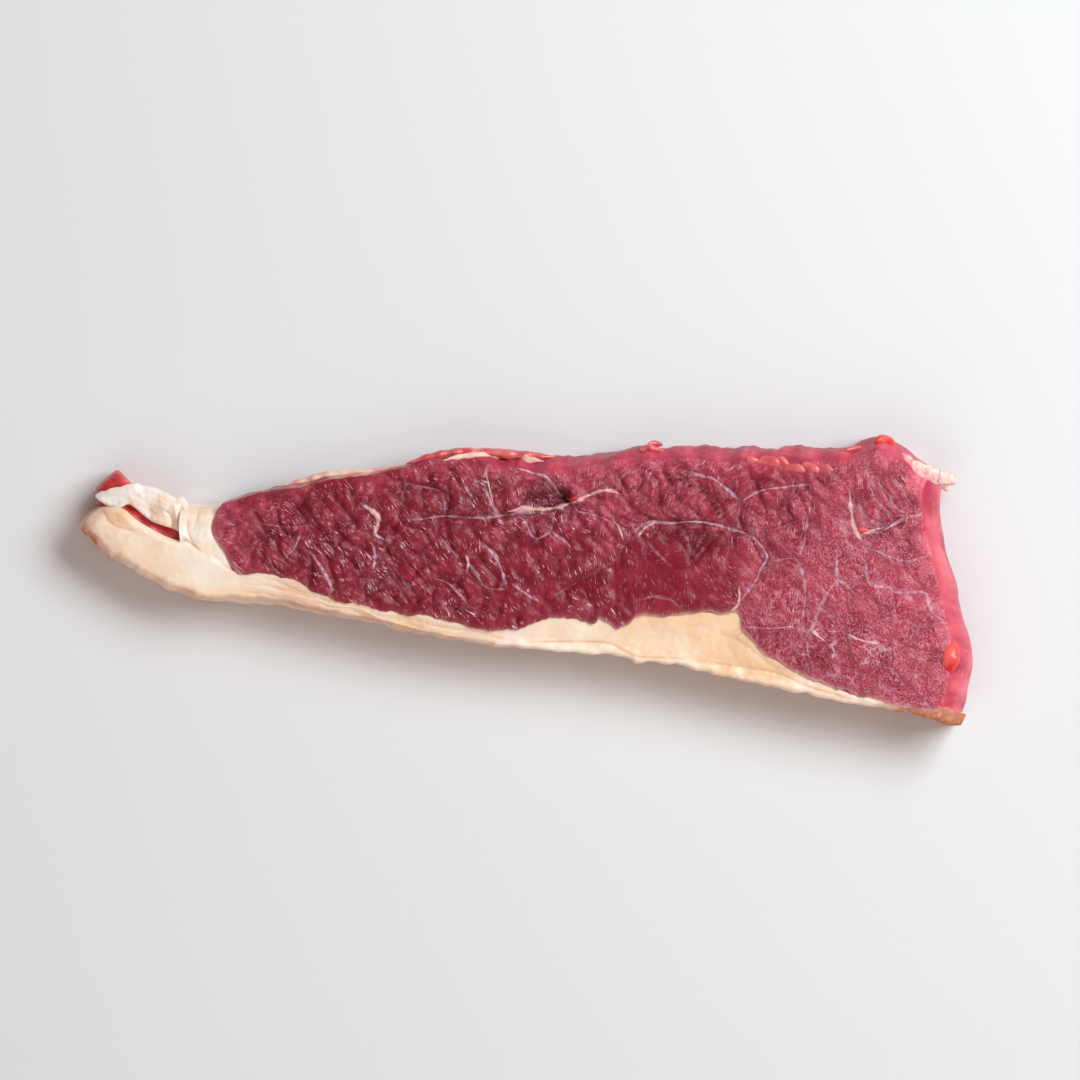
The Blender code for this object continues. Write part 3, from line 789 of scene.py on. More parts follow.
# Grain: the fine pale crinkle, partly real texture and partly painted sheen; it is thinned in the valleys
# at the bundles' edges, where shade falls
grain = 0.9 * regional(X, Y, GRAIN) + 0.25 * (bundle_shine - 0.5) + 0.20 * (small_number - 0.5) - 0.08
grain = np.clip(grain, 0, 1.1) * (1 - 0.8 * relief * uneven * broken * (1 - crest))
# Painted highlights: how many glint strokes each place has, more on the crests of the bundles
gloss = regional(X, Y, STROKES) * (0.35 + 0.9 * bundle_shine) * (0.4 + 0.6 * crest)
film = fade(to_seam, 0.45) * np.interp(X, (-80, 10, 28, 112), (0.15, 0.20, 0.60, 0.6))
film += 0.3 * fade(to_tip, 0.6)

ring = rim(face_plan)
travelled = np.cumsum(np.linalg.norm(ring - np.roll(ring, 1, axis=0), axis=1))
ring_x = np.broadcast_to(ring[:, 0], side.shape[:2])
side_along = side[..., 2] + 0 * ring_x
side_across = np.broadcast_to(travelled, side.shape[:2])
side_tone = np.interp(ring_x, (-80, -30, 5, 95, 110), (0.60, 0.75, 0.88, 0.98, 1.34))
side_tone = side_tone + 0.18 * waves(side_across, 0.6 * side_along, 8, 51)
side_tone += 0.06 * waves(side_across, side_along, 2.5, 53)
side_tone -= 0.35 * rise(side[..., 2], 12, -12)

_, side_cream, side_of_side_cream = along_lines(side[..., 0], side[..., 1], CREAM_TISSUE)
side_film = np.interp(ring[:, 0], (-84, -78, -70, -62, -40, -34, -30), (0.1, 0.6, 0.35, 0.9, 0.9, 0.4, 0))
side_film = side_film * (ring[:, 1] > 18)
side_film = side_film * np.clip(0.6 + 0.35 * waves(side_across, side_along, 9, 52), 0, 0.9)
side_film = side_film * np.clip((side[..., 2] - 3) / 7, 0.15, 1)

# The fibres' coordinates jump at the rim, so none are drawn in the strip of faces along it
fibres, side_fibres = np.ones(X.shape), np.ones(side.shape[:2])
fibres[[0, -1]] = fibres[:, [0, -1]] = side_fibres[0] = 0


def with_side(on_face, on_side):
    """Numbers for the whole skin, from those on its face and those on its side."""
    return np.concatenate([np.ravel(on_face), np.ravel(np.broadcast_to(on_side, side.shape[:2]))])


flecks = np.exp(-(((X - 82) / 11) ** 2 + ((Y + 18) / 9) ** 2))
muscle_skin = np.concatenate([face.reshape(-1, 3), side.reshape(-1, 3)])
muscle = closed_skin("muscle", face, side, [muscle_finish(), underside_finish()])
paint(
    muscle,
    tone=with_side(tone, side_tone),
    grain=with_side(grain * fibres, 0.05 * side_fibres),
    furrow=with_side(painted_crease_shade, 0),
    pale=with_side(pale, 0),
    flecks=with_side(flecks, 0),
    side=with_side(side_of_line, 9),
    film=with_side(film, side_film),
    gloss=with_side(gloss * fibres, 0.3 * side_fibres),
    fibres=with_side(fibres, side_fibres),
    cream=with_side(cream, side_cream),
    cream_side=with_side(side_of_cream, side_of_side_cream),
    fibre=np.column_stack([with_side(along, side_across), with_side(across, side_along)]),
)
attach(muscle, "root")
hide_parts("lean")


# --------------------------------------------------------------------
# The fat cap: the band of fat left on along the front, with a bead at its outer edge where the knife
# trimmed it. It is one closed skin, which swells at the tail into a smooth lobe and slips a little way
# under the muscle.
# --------------------------------------------------------------------

CAP_COLUMNS, CAP_ROWS = 620, 40
CAP_LOOPS = 14
UNDER_MUSCLE = 1.4

LOBE_END, LOBE_TOP = -78.0, 15.2

# How far the outer edge of the fat slopes in: x and slope
OUTER_SLOPES = [
    (-120, 0.5), (-100, 0.4), (-84, 0.6), (-79, 1.8), (-70, 2.2), (-58, 2), (-45, 1.6), (-30, 1.3),
    (-15, 0.9), (0, 0.3),
]

FAT_EDGE = [
    (-119.9, 14.5), (-118.4, 12.4), (-116.3, 10.5), (-114.8, 8.6), (-113.1, 6.9), (-112.2, 5.2),
    (-110.2, 5.0), (-107.5, 3.8), (-103.9, 1.1), (-99.8, -1.2), (-95.7, -3.1), (-91.5, -4.6),
    (-88.4, -5.5), (-84.3, -5.8), (-79.5, -6.3), (-72, -7.0), (-65, -7.6), (-57.5, -9.0), (-47, -11.0),
    (-40, -12.2), (-33, -14.2), (-24, -15.8), (-15, -16.9), (-7, -18.4), (5, -19.2), (15, -20.2),
    (24, -20.9), (27.4, -21.2), (28.9, -22.4), (30.8, -22.6), (32.6, -22.2), (41, -23.4), (49, -25.4),
    (57, -27.0), (66, -29.2), (75, -31.0), (83, -32.6), (90, -33.6), (100, -35.6), (108, -37.6),
    (112.5, -38.9), (116, -38.9),
]
SLOT_EDGE = [(-114.2, 19.9), (-108, 19.1), (-103.6, 15.8), (-99, 13.1), (-94.4, 11.0), (-90, 10.2)]
CREASE = [(-90, 10.2), (-84.5, 5.2), (-77, 1.6)]
TAIL_END = [(-119.9, 14.5), (-117.8, 17.6), (-114.2, 19.9)]

# Grooves in the fat: depth (below zero: a ridge), how dark the painted shade line in it is, and its course
FAT_GROOVES = [
    (0.45, 0.9, [
        (-9, -15), (-5, -16), (1, -16.5), (15.5, -16.5), (22.5, -17), (26.5, -19), (30.5, -20.5),
        (41.5, -21), (52.5, -22.5), (59.5, -23.5), (67.5, -25), (74, -28), (80.5, -30), (88, -32),
        (94, -33), (98, -33),
    ]),
    (0.20, 0.3, [(41.5, -12.5), (47, -12.5), (54, -15), (59.5, -18), (63, -21), (68.5, -25)]),
    (0.15, 0.3, [(54, -12), (57, -16.5), (62, -20), (67.5, -23.5), (74, -27)]),
    (0.30, 0.8, [
        (-70.5, 1.5), (-65.5, -0.5), (-60.5, -3), (-57, -4), (-51, -6), (-45.5, -7), (-40, -9),
    ]),
    (-0.50, 0.0, [
        (-64, -4.0), (-56, -5.4), (-51.5, -6.9), (-44.6, -7.4), (-41.6, -9.0), (-38.1, -10.6),
        (-33.8, -11.7), (-28.3, -13.3), (-22.2, -14.6), (-16.7, -15.6), (-9.8, -17),
    ]),
    (0.30, 0.5, [
        (-75.5, -0.5), (-63, -3), (-57, -5), (-52, -7), (-47, -7.5), (-43, -10), (-37.5, -12.5),
        (-32.5, -14.5),
    ]),
    (0.35, 0.7, [(-33.5, -10), (-28.5, -11), (-23.5, -12.5), (-16.5, -13.5), (-11.5, -14), (-9, -15)]),
    (0.25, 0.6, [
        (-33.5, -11.5), (-29, -12.5), (-24.5, -14.5), (-16.5, -15.5), (-10.5, -16.5), (-3, -18.5),
    ]),
    (0.50, 0.8, [(-113.5, 20), (-112.5, 18), (-110.5, 15), (-106.5, 13.5), (-103, 13)]),
    (0.25, 0.8, [(-103.5, 3.0), (-100.3, 1.5), (-95.7, -1.2), (-90.5, -2.9), (-86.4, -3.6)]),
    (0.30, 0.5, [(-117.5, 12.6), (-114.5, 11.0), (-112.5, 8.4), (-109.5, 6.4)]),
    (0.30, 0.5, [(-75, -3.4), (-70.5, -3.6), (-65, -4.8), (-58, -6.4)]),
]

# Where the fat turns whiter (0), cream (0.5) or yellow (1), and where it is stained orange (on the fat's
# sides the same colour also serves as painted shade): x, y, reach, warmth, stain
FAT_PATCHES = np.array([
    (-115.5, 12.5, 5, 0.55, 0.75),
    (-110, 16.8, 2.6, 0.95, 0.50),
    (-103, 5, 8, 0.15, 0.06),
    (-92, 3, 8, 0.18, 0.03),
    (-111, 4, 4, 0.60, 0.60),
    (-101, -1, 4, 0.50, 0.42),
    (-90, -4.5, 5, 0.65, 0.35),
    (-74, -3, 6, 0.30, 0.08),
    (-55, -6, 9, 0.30, 0.34),
    (-30, -12, 9, 0.34, 0.34),
    (-5, -15, 8, 0.50, 0.26),
    (15, -14, 9, 0.58, 0.05),
    (35, -14, 8, 1.05, 0.02),
    (48, -17, 8, 1.25, 0.02),
    (62, -24, 8, 1.15, 0.12),
    (85, -31, 9, 0.75, 0.25),
    (97, -34.5, 4, 0.60, 0.45),
    (109, -36.8, 7, 0.80, 4.00),
])

WARMTH, STAIN = 3, 4


def fat_finish(name="cream_fat", white=(0.98, 0.83, 0.70, 1), yellow=(0.88, 0.585, 0.36, 1)):
    """Waxy fat in thin layers: white to yellow by warmth, stained orange and brown where it has dried and,
    in the same colour, painted shade down its sides; painted shade in its grooves; pink from blood along
    the muscle."""
    waxy = {"coat": 0.15, "coat_roughness": 0.25, "flesh": 0.4, "reach": (1, 0.85, 0.7)}
    made, tree, shader = start_finish(name, 0.42, **waxy)
    where = add(tree, "ShaderNodeTexCoord").outputs["Object"]
    cloud = noise(tree, where, 140, 3)
    grain = noise(tree, where, 900, 3, 0.6)
    flattened = add(tree, "ShaderNodeMapping", {"Vector": where, "Scale": (22.0, 22.0, 420.0)}).outputs[0]
    layers = noise(tree, flattened, 1.0, 2)
    warmth = plus(tree, painted(tree, "warmth"), between(tree, cloud, 0.3, 0.7, -0.2, 0.2))
    warmth = plus(tree, warmth, between(tree, layers, 0.35, 0.65, -0.3, 0.3))
    colour = mix(tree, warmth, white, yellow)
    # Orange-brown stain: dried fat, and on the sides also painted shade
    spots = between(tree, noise(tree, where, 210, 3), 0.3, 0.7, 0.6, 1.15)
    stain = times(tree, painted(tree, "stain"), spots)
    colour = mix(tree, stain, colour, (0.54, 0.19, 0.085, 1))
    # Painted shade: orange-brown lines in the grooves and creases, as strong as the line attribute says
    gap = sums(tree, "ABSOLUTE", painted(tree, "side"), 0)
    painted_groove_shade = times(tree, between(tree, gap, 0.05, 0.6, 1, 0), painted(tree, "pale"))
    painted_groove_shade = times(tree, painted_groove_shade, between(tree, cloud, 0.35, 0.6, 0.4, 1))
    colour = mix(tree, times(tree, painted_groove_shade, 0.6), colour, (0.72, 0.36, 0.16, 1))
    colour = mix(tree, between(tree, grain, 0.50, 0.75, 0, 0.35), colour, (0.97, 0.86, 0.78, 1))
    blood = times(tree, painted(tree, "blood"), between(tree, cloud, 0.35, 0.65, 0.3, 1))
    colour = mix(tree, blood, colour, (0.72, 0.26, 0.22, 1))
    tree.links.new(colour, shader.inputs["Base Color"])
    rough_up(tree, shader, (cloud, 0.12), (layers, 0.25), (grain, 0.04))
    return made


def joined(*lines):
    """Lines that follow one another, as one, each shared end kept once."""
    return np.vstack([lines[0]] + [line[1:] for line in lines[1:]])


cap_far_line = joined(smooth_line(SLOT_EDGE, 60), smooth_line(CREASE, 40), smooth_line(SEAM, 400))
cap_far = smooth_line(cap_far_line[::4], CAP_COLUMNS)
under = UNDER_MUSCLE * rise(cap_far[:, 0], -92, 6) * rise(cap_far[:, 0], 118, -6)
cap_far = beside(cap_far, under)
cap_near = smooth_line(FAT_EDGE, CAP_COLUMNS)
ragged = 0.20 * waves(*cap_near.T, 8, 61) + 0.08 * waves(*cap_near.T, 2.8, 62)
ragged = np.clip(0.25 + ragged, 0, 0.9)
ragged = ragged * rise(cap_near[:, 0], -119, 8) * rise(cap_near[:, 0], 115, -8)
cap_near = beside(cap_near, ragged)
cap_plan = patch(
    cap_near,
    cap_far,
    smooth_line(TAIL_END, CAP_ROWS),
    smooth_line([cap_near[-1], cap_far[-1]], CAP_ROWS),
)
outer_slope = np.interp(cap_plan[:, 0, 0], *np.transpose(OUTER_SLOPES))
cap_slopes = (outer_slope[:, None], 0, 2.2, 0)
cap_face_plan, X, Y, (to_outer, to_inner, to_end, _) = upper_face(cap_plan, cap_slopes)
grooves, groove_shade, groove_side = along_lines(X, Y, FAT_GROOVES)
lobe = rise(X, -76, -14)
lobe_rise = rise(X, -120, 42)
lobe_height = LOBE_TOP + (slice_height(LOBE_END) - LOBE_TOP) * lobe_rise**2 * (3 - 2 * lobe_rise)
height = np.where(X < LOBE_END, lobe_height, slice_height(X)) - 0.1
height -= (1 - lobe) * 1.1 * rise(to_inner, 0, 9) ** 1.5
under_edge = rise(X, -84, 6) * rise(X, 112, -6)
height -= under_edge * 1.3 * np.clip(1.46 - to_inner, 0, 1)
bead = np.interp(X, (-14, 0, 92, 100), (0, 1, 1, 0))
height += bead * (0.45 * bell(to_outer - 1.3, 1.3) - 0.25)
strands = np.interp(X, (-84, -70, -12, 0), (0, 1, 1, 0))
clear_of_seam = rise(to_inner, 1.5, 2)
height += strands * 0.05 * np.sin(2 * np.pi * (to_outer / 2.7 + 0.3 * waves(X, Y, 17, 75))) * clear_of_seam
height -= 0.9 * grooves * clear_of_seam
height += bead * 0.11 * waves(X, Y, 4, 73) * bell(to_outer - 1.6, 1.4)
outer_radius, outer_drop = 1.3 + 1.2 * lobe - 0.5 * bead, 0.9 + 0.6 * lobe - 0.45 * bead
height -= rounded(to_outer, outer_radius, outer_drop) + rounded(to_end, 3.5, 2.2)
height -= rounded(to_inner, 2.0, 1.5) * rise(X, -84, -6)
height += 0.08 * waves(X, Y, 9, 71) + 0.02 * waves(X, Y, 3, 72)
face = np.dstack([cap_face_plan, height])
side = side_loops(cap_plan, cap_slopes, face, loops=CAP_LOOPS, hollow=0.07, seed=2)

ring = rim(cap_face_plan)
# The bead is whiter at its outer edge: partly its own white-cream, partly painted light against the shade
# on its rounded rim
warmth = patchy(X, Y, FAT_PATCHES, WARMTH) - 0.6 * bead * fade(to_outer, 1.6)
stain = patchy(X, Y, FAT_PATCHES, STAIN) * (0.30 + (1.8 - 1.0 * bead) * fade(to_outer, 1.3))
side_warmth = 0.15 + patchy(ring[:, 0], ring[:, 1], FAT_PATCHES, WARMTH)
blood = 0.5 * fade(np.clip(to_inner - UNDER_MUSCLE, 0, 9), 0.35) * rise(X, -84, 6)
# On the sides the orange-brown is stronger and grows towards the bottom: partly dried stain, partly painted
# shade
side_stain = 1.3 * patchy(ring[:, 0], ring[:, 1], FAT_PATCHES, STAIN)
side_stain = side_stain * np.interp(ring[:, 0], (-119, -114, 90, 100), (0.35, 1, 1, 0.8))
side_stain = np.clip(side_stain, 0, 0.8) + 0.15 * rise(side[..., 2], 14, -14)

fat_cap = closed_skin("fat_band", face, side, [fat_finish()])
paint(
    fat_cap,
    warmth=with_side(warmth, side_warmth),
    stain=with_side(stain, side_stain),
    blood=with_side(blood, 0),
    # the pale attribute carries the painted shade of the grooves here
    pale=with_side(groove_shade, 0),
    side=with_side(groove_side, 9),
)
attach(fat_cap, "root")
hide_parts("fat_cap")


# --------------------------------------------------------------------
# The neck: the fat that wraps the narrow end of the muscle, smooth and nearly white.
# A closed skin that slips under the muscle's tip and under the lobe's crease.
# --------------------------------------------------------------------

NECK_NEAR = [(-92.0, 9.4), (-90.4, 9.6), (-84.9, 4.6), (-76.5, 0.6)]
NECK_FAR = [(-91.5, 21.0), (-88.5, 20.5), (-86, 20.3), (-83, 20.7), (-79.5, 21.2)]
NECK_LEFT = [(-92.0, 9.4), (-92.4, 15), (-91.5, 21.0)]
NECK_RIGHT = [(-76.5, 0.6), (-78.6, 6.8), (-81.8, 12.6), (-81.2, 17.2), (-79.5, 21.2)]
NECK_HEIGHT = 16.9

# Grooves in the neck: depth, how dark the painted shade line in it is, and its course
NECK_GROOVES = [
    (0.8, 0.7, [(-89.9, 16.0), (-90.2, 13.5), (-89.4, 10.8), (-87.4, 8.0), (-84.6, 5.4)]),
    (0.4, 0.3, [(-88.6, 20.2), (-87.4, 18.2), (-87.6, 16.0), (-88.8, 13.2)]),
    (0.3, 0.2, [(-84.0, 20.2), (-83.4, 18.4), (-84.0, 16.8)]),
    (0.3, 0.6, [(-83.0, 16.4), (-83.6, 13.8), (-82.6, 11.2)]),
]

neck_plan = patch(
    smooth_line(NECK_NEAR, 90),
    smooth_line(NECK_FAR, 90),
    smooth_line(NECK_LEFT, 80),
    smooth_line(NECK_RIGHT, 80),
)
neck_slopes = (0, 1.6, 0, 0)
neck_face_plan, X, Y, (to_crease, to_far, to_fold, to_muscle) = upper_face(neck_plan, neck_slopes)
height = NECK_HEIGHT + 0.12 * waves(X, Y, 8, 81) + 0.02 * waves(X, Y, 2, 82)
grooves, groove_shade, groove_side = along_lines(X, Y, NECK_GROOVES)
height -= 0.7 * grooves
height -= rounded(to_crease, 2.5, 1.6) + rounded(to_far, 3.0, 2.2) + rounded(to_muscle, 2.6, 0.8)
face = np.dstack([neck_face_plan, height])
side = side_loops(neck_plan, neck_slopes, face, loops=12, hollow=0.2, seed=3)
neck = closed_skin("neck_fat", face, side, [fat_finish("neck_fat", white=(0.99, 0.86, 0.74, 1))])
paint(
    neck,
    warmth=with_side(0.25 + 0.1 * waves(X, Y, 9, 83), 0.4),
    stain=with_side(0.25 * fade(to_muscle, 0.8), 0.2),
    blood=with_side(0.6 * fade(np.clip(to_muscle - 1.2, 0, 9), 0.4), 0),
    # the pale attribute carries the painted shade of the grooves here
    pale=with_side(groove_shade, 0),
    side=with_side(groove_side, 9),
)
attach(neck, "root")
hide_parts("tail_flap")


# --------------------------------------------------------------------
# The tail flap: a thick ragged sheet of white fat that lies over the strip of muscle in the tail.
# A closed skin, raised off the board, with a fold where it joins the neck.
# --------------------------------------------------------------------

FLAP_NEAR = [
    (-115.0, 22.0), (-113.4, 20.7), (-111.1, 19.4), (-108.6, 19.0), (-107.6, 19.4), (-106.2, 20.0),
    (-105.0, 19.6), (-102.4, 17.4), (-99.8, 15.4), (-96.7, 14.2), (-93.6, 13.3), (-91.6, 12.0),
    (-90.3, 10.4),
]
FLAP_FAR = [
    (-115.1, 22.6), (-112.2, 24.5), (-109.1, 25.3), (-104.6, 26.1), (-102.4, 25.4), (-98.8, 24.8),
    (-95.7, 23.6), (-93.6, 22.4), (-91.6, 22.5), (-90.0, 20.6),
]
FLAP_FOLD = [(-90.3, 10.4), (-89.8, 13.6), (-89.9, 17.4), (-90.0, 20.6)]
FLAP_UNDER, FLAP_TOP = 9.5, 13.6

# Creases of the flap: depth (below zero: a ridge), how dark the painted shade line in it is, and its course
FLAP_CREASES = [
    (0.9, 1.0, [(-96.4, 18.4), (-95.0, 17.6), (-94.2, 15.8), (-94.4, 13.8)]),
    (-0.5, 0.0, [(-93.6, 20.4), (-93.4, 18.0), (-92.9, 15.6), (-91.9, 13.0)]),
    (0.5, 0.5, [(-91.6, 21.2), (-92.0, 18.6), (-91.3, 15.8), (-90.5, 12.6)]),
    (0.4, 0.2, [(-112.5, 22.6), (-108.5, 22.2), (-105.0, 22.6), (-102.0, 21.4)]),
    (0.4, 0.3, [(-103.0, 24.0), (-99.0, 22.8), (-96.0, 21.4), (-94.4, 21.6)]),
    (0.3, 0.1, [(-103.5, 19.8), (-100.5, 18.6), (-98.0, 16.6)]),
]

flap_plan = patch(
    smooth_line(FLAP_NEAR, 150),
    smooth_line(FLAP_FAR, 150),
    smooth_line([FLAP_NEAR[0], FLAP_FAR[0]], 64),
    smooth_line(FLAP_FOLD, 64),
)
flap_slopes = (0.3, 1.0, 0.3, 0)
flap_face_plan, X, Y, (to_slot, to_far, to_tip, to_fold) = upper_face(flap_plan, flap_slopes)
height = FLAP_TOP + 0.11 * (X + 115) + 0.22 * waves(X, Y, 7, 91) + 0.05 * waves(X, Y, 2.2, 92)
creases, crease_shade, crease_side = along_lines(X, Y, FLAP_CREASES)
height -= 0.8 * creases
height -= rounded(to_slot, 0.8, 0.5) + rounded(to_far, 2.6, 1.9) + rounded(to_fold, 2.0, 0.7)
face = np.dstack([flap_face_plan, height])
side = side_loops(flap_plan, flap_slopes, face, bottom=FLAP_UNDER, loops=8, hollow=0.2, seed=4, tuck=0.6)
flap = closed_skin("tail_flap_fat", face, side, [fat_finish("flap_fat", white=(0.95, 0.86, 0.79, 1))])
paint(
    flap,
    warmth=with_side(0.05 + 0.4 * fade(to_fold, 4) + 0.1 * waves(X, Y, 6, 93), 0.3),
    stain=with_side(0.12 * np.clip(waves(X, Y, 4, 94), 0, 1), 0.05),
    blood=with_side(0 * X, 0.1),
    # the pale attribute carries the painted shade of the creases here
    pale=with_side(crease_shade, 0),
    side=with_side(crease_side, 9),
)
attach(flap, "root")
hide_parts("tail_flap")


# --------------------------------------------------------------------
# The strip of muscle in the tail, deep red and wet, seen in the slit under the flap and at the tip.
# A closed skin that reaches under the fat on both sides.
# --------------------------------------------------------------------

STRIP_NEAR = [(-115.0, 20.4), (-108, 18.0), (-103.6, 14.6), (-99, 11.9), (-94.4, 10.0), (-89, 9.2)]
STRIP_FAR = [(-115.3, 24.6), (-111.9, 27.8), (-109, 29.6), (-104.5, 25.0), (-99, 22.2), (-89, 18.0)]
STRIP_TOP = 12.4

strip_plan = patch(
    smooth_line(STRIP_NEAR, 130),
    smooth_line(STRIP_FAR, 130),
    smooth_line([STRIP_NEAR[0], STRIP_FAR[0]], 50),
    smooth_line([STRIP_NEAR[-1], STRIP_FAR[-1]], 50),
)
strip_slopes = (0, 2.0, 2.2, 0)
strip_face_plan, X, Y, (to_near, to_far, to_tip, _) = upper_face(strip_plan, strip_slopes)
height = STRIP_TOP + 0.3 * waves(X, Y, 5, 101) + 0.05 * waves(X, Y, 2, 102)
height += 1.4 * fade(to_near, 1.8) * rise(to_tip, 0, 6)
height -= rounded(to_far, 3.0, 1.8) + rounded(to_tip, 3.5, 2.4)
face = np.dstack([strip_face_plan, height])
side = side_loops(strip_plan, strip_slopes, face, loops=10, hollow=0.2, seed=5)


def inner_muscle_finish():
    """Fresh wet muscle inside the tail: deep red, pinker in a band along its near edge."""
    wet = {"ior": 1.33, "coat": 0.15, "coat_roughness": 0.15, "flesh": 0.1}
    made, tree, shader = start_finish("inner_muscle", 0.30, **wet)
    where = add(tree, "ShaderNodeTexCoord").outputs["Object"]
    threads = noise(tree, stretched(tree, where, 260, 1500, 0.45), 1.0, 3)
    colour = mix(tree, between(tree, threads, 0.35, 0.7), (0.48, 0.006, 0.012, 1), (0.66, 0.045, 0.05, 1))
    colour = mix(tree, painted(tree, "pink"), colour, (0.78, 0.22, 0.20, 1))
    tree.links.new(colour, shader.inputs["Base Color"])
    rough_up(tree, shader, (threads, 0.2))
    return made


tail_strip = closed_skin("tail_strip", face, side, [inner_muscle_finish()])
# Pinker in a band along the strip's near edge
paint(tail_strip, pink=with_side(0.55 * bell(to_near - 1.6, 0.9) + 0.05, 0.2))
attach(tail_strip, "root")
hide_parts("tail_lean")


# --------------------------------------------------------------------
# Scraps, membranes and shreds left by the knife: soft tissue, wet, stuck to the edges and the cut face.
# Each is a closed ribbon of uneven width along a path of its own, and those of one stuff are one piece.
# --------------------------------------------------------------------

RIBBON_STEP = 0.3
NEARBY = 0.5


def ribbon(path, seed, unevenness, around=14):
    """Places and faces of a ribbon along a path of (x, y, z, half width, half thickness): each ring is
    an ellipse, centre + width cos(turn) sideways + thickness sin(turn) up, uneven by waves, and the ends
    close to a point."""
    length = np.linalg.norm(np.diff(np.array(path)[:, :3], axis=0), axis=1).sum()
    line = smooth_line(path, max(10, int(length / RIBBON_STEP)))
    forward = np.gradient(line[:, :2], axis=0)
    forward /= np.linalg.norm(forward, axis=1, keepdims=True)
    sideways = np.column_stack([-forward[:, 1], forward[:, 0], 0 * forward[:, 0]])
    share = np.linspace(-1, 1, len(line))
    closing = np.sqrt(np.clip(1 - share**8, 0, 1))
    turn = np.linspace(0, 2 * np.pi, around, endpoint=False)
    lumps = unevenness * waves(length / 2 * share[:, None], 1.2 * np.cos(turn), 3.6, seed)
    size = closing[:, None] * (1 + lumps)
    places = line[:, None, :3] + (line[:, 3:4] * size * np.cos(turn))[..., None] * sideways[:, None]
    places[..., 2] += line[:, 4:5] * size * np.sin(turn)
    inner = places[1:-1].reshape(-1, 3)
    places = np.vstack([inner, line[:1, :3], line[-1:, :3]])
    loops = np.arange(len(inner)).reshape(-1, around)
    after = np.roll(loops, -1, axis=1)
    faces = np.stack([after[:-1], after[1:], loops[1:], loops[:-1]], axis=-1).reshape(-1, 4).tolist()
    start, end = np.full(around, len(inner)), np.full(around, len(inner) + 1)
    faces += np.stack([start, loops[0], after[0]], axis=1)[:, ::-1].tolist()
    faces += np.stack([end, after[-1], loops[-1]], axis=1)[:, ::-1].tolist()
    return places, faces


def ribbons(name, paths, finish, unevenness=0.12):
    """One piece made of several ribbons, each uneven in its own way."""
    places, faces = [], []
    for number, path in enumerate(paths):
        some_places, some_faces = ribbon(path, 200 + number, unevenness)
        shift = sum(len(group) for group in places)
        faces += [[corner + shift for corner in one] for one in some_faces]
        places.append(some_places)
    data = bpy.data.meshes.new(name)
    data.from_pydata(np.vstack(places) * MM, [], faces)
    data.materials.append(finish)
    data.shade_smooth()
    thing = placed(name, data)
    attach(thing, "root")
    return thing


def lying(path, lift=0.0):
    """A path of (x, y, half width, half thickness) laid on the muscle: its height is that of the highest
    place of the muscle's skin within NEARBY, or of the nearest place, and lift."""
    laid = []
    for x, y, wide, thick in path:
        gap = np.hypot(muscle_skin[:, 0] - x, muscle_skin[:, 1] - y)
        laid.append((x, y, muscle_skin[gap <= max(NEARBY, gap.min()), 2].max() + lift, wide, thick))
    return laid


def tissue_finish(name, first, second, scale=420, roughness=0.32, coat=0.35):
    """Wet soft tissue: two colours in clouds."""
    wet = {"coat": coat, "coat_roughness": 0.15, "flesh": 0.15, "reach": (1, 0.5, 0.3)}
    made, tree, shader = start_finish(name, roughness, **wet)
    where = add(tree, "ShaderNodeTexCoord").outputs["Object"]
    cloud = noise(tree, where, scale, 3)
    fine = noise(tree, where, 1800, 2)
    colour = mix(tree, between(tree, cloud, 0.35, 0.65), (*first, 1), (*second, 1))
    tree.links.new(colour, shader.inputs["Base Color"])
    rough_up(tree, shader, (cloud, 0.15), (fine, 0.05))
    return made


membrane_finish = tissue_finish("membrane", (0.88, 0.62, 0.48), (0.80, 0.36, 0.30), 180, 0.45, 0.1)
edge_membranes = ribbons("edge_membranes", [
    [
        (-66, 24.9, 13.2, 0.3, 0.5), (-59, 26.5, 12.8, 0.8, 1.1), (-53, 27.9, 12.6, 1.0, 1.5),
        (-47, 28.6, 12.8, 0.9, 1.5), (-41, 29.0, 13.2, 0.8, 1.3), (-34, 30.4, 14.0, 0.3, 0.5),
    ],
    lying([
        (-22, 31.8, 0.3, 0.3), (-16, 33.0, 0.8, 0.6), (-9, 33.2, 0.9, 0.6), (-4, 32.8, 1.0, 0.6),
        (0, 32.2, 1.1, 0.5), (5, 31.6, 0.3, 0.3),
    ]),
], membrane_finish, unevenness=0.10)

white_tissue = tissue_finish("white_tissue", (0.90, 0.70, 0.60), (0.84, 0.46, 0.42), 700, 0.42, 0.15)
corner_fat = ribbons("corner_fat", [
    lying([
        (103.0, 31.4, 0.7, 0.3), (106.0, 29.7, 1.6, 0.5), (108.8, 28.2, 2.0, 0.8),
        (111.0, 27.2, 1.6, 0.8),
    ]),
    lying([(109.4, 28.4, 1.2, 0.8), (111.2, 27.6, 1.8, 1.2)])
    + [(113.2, 27.0, 9.0, 1.9, 1.6), (114.8, 26.7, 8.0, 1.3, 1.2), (116.0, 27.2, 7.6, 0.4, 0.4)],
    lying([(110.4, 26.4, 0.6, 0.6), (112.0, 25.2, 1.0, 1.0)]) + [(113.4, 23.6, 7.6, 0.5, 0.8)],
], white_tissue, unevenness=0.14)

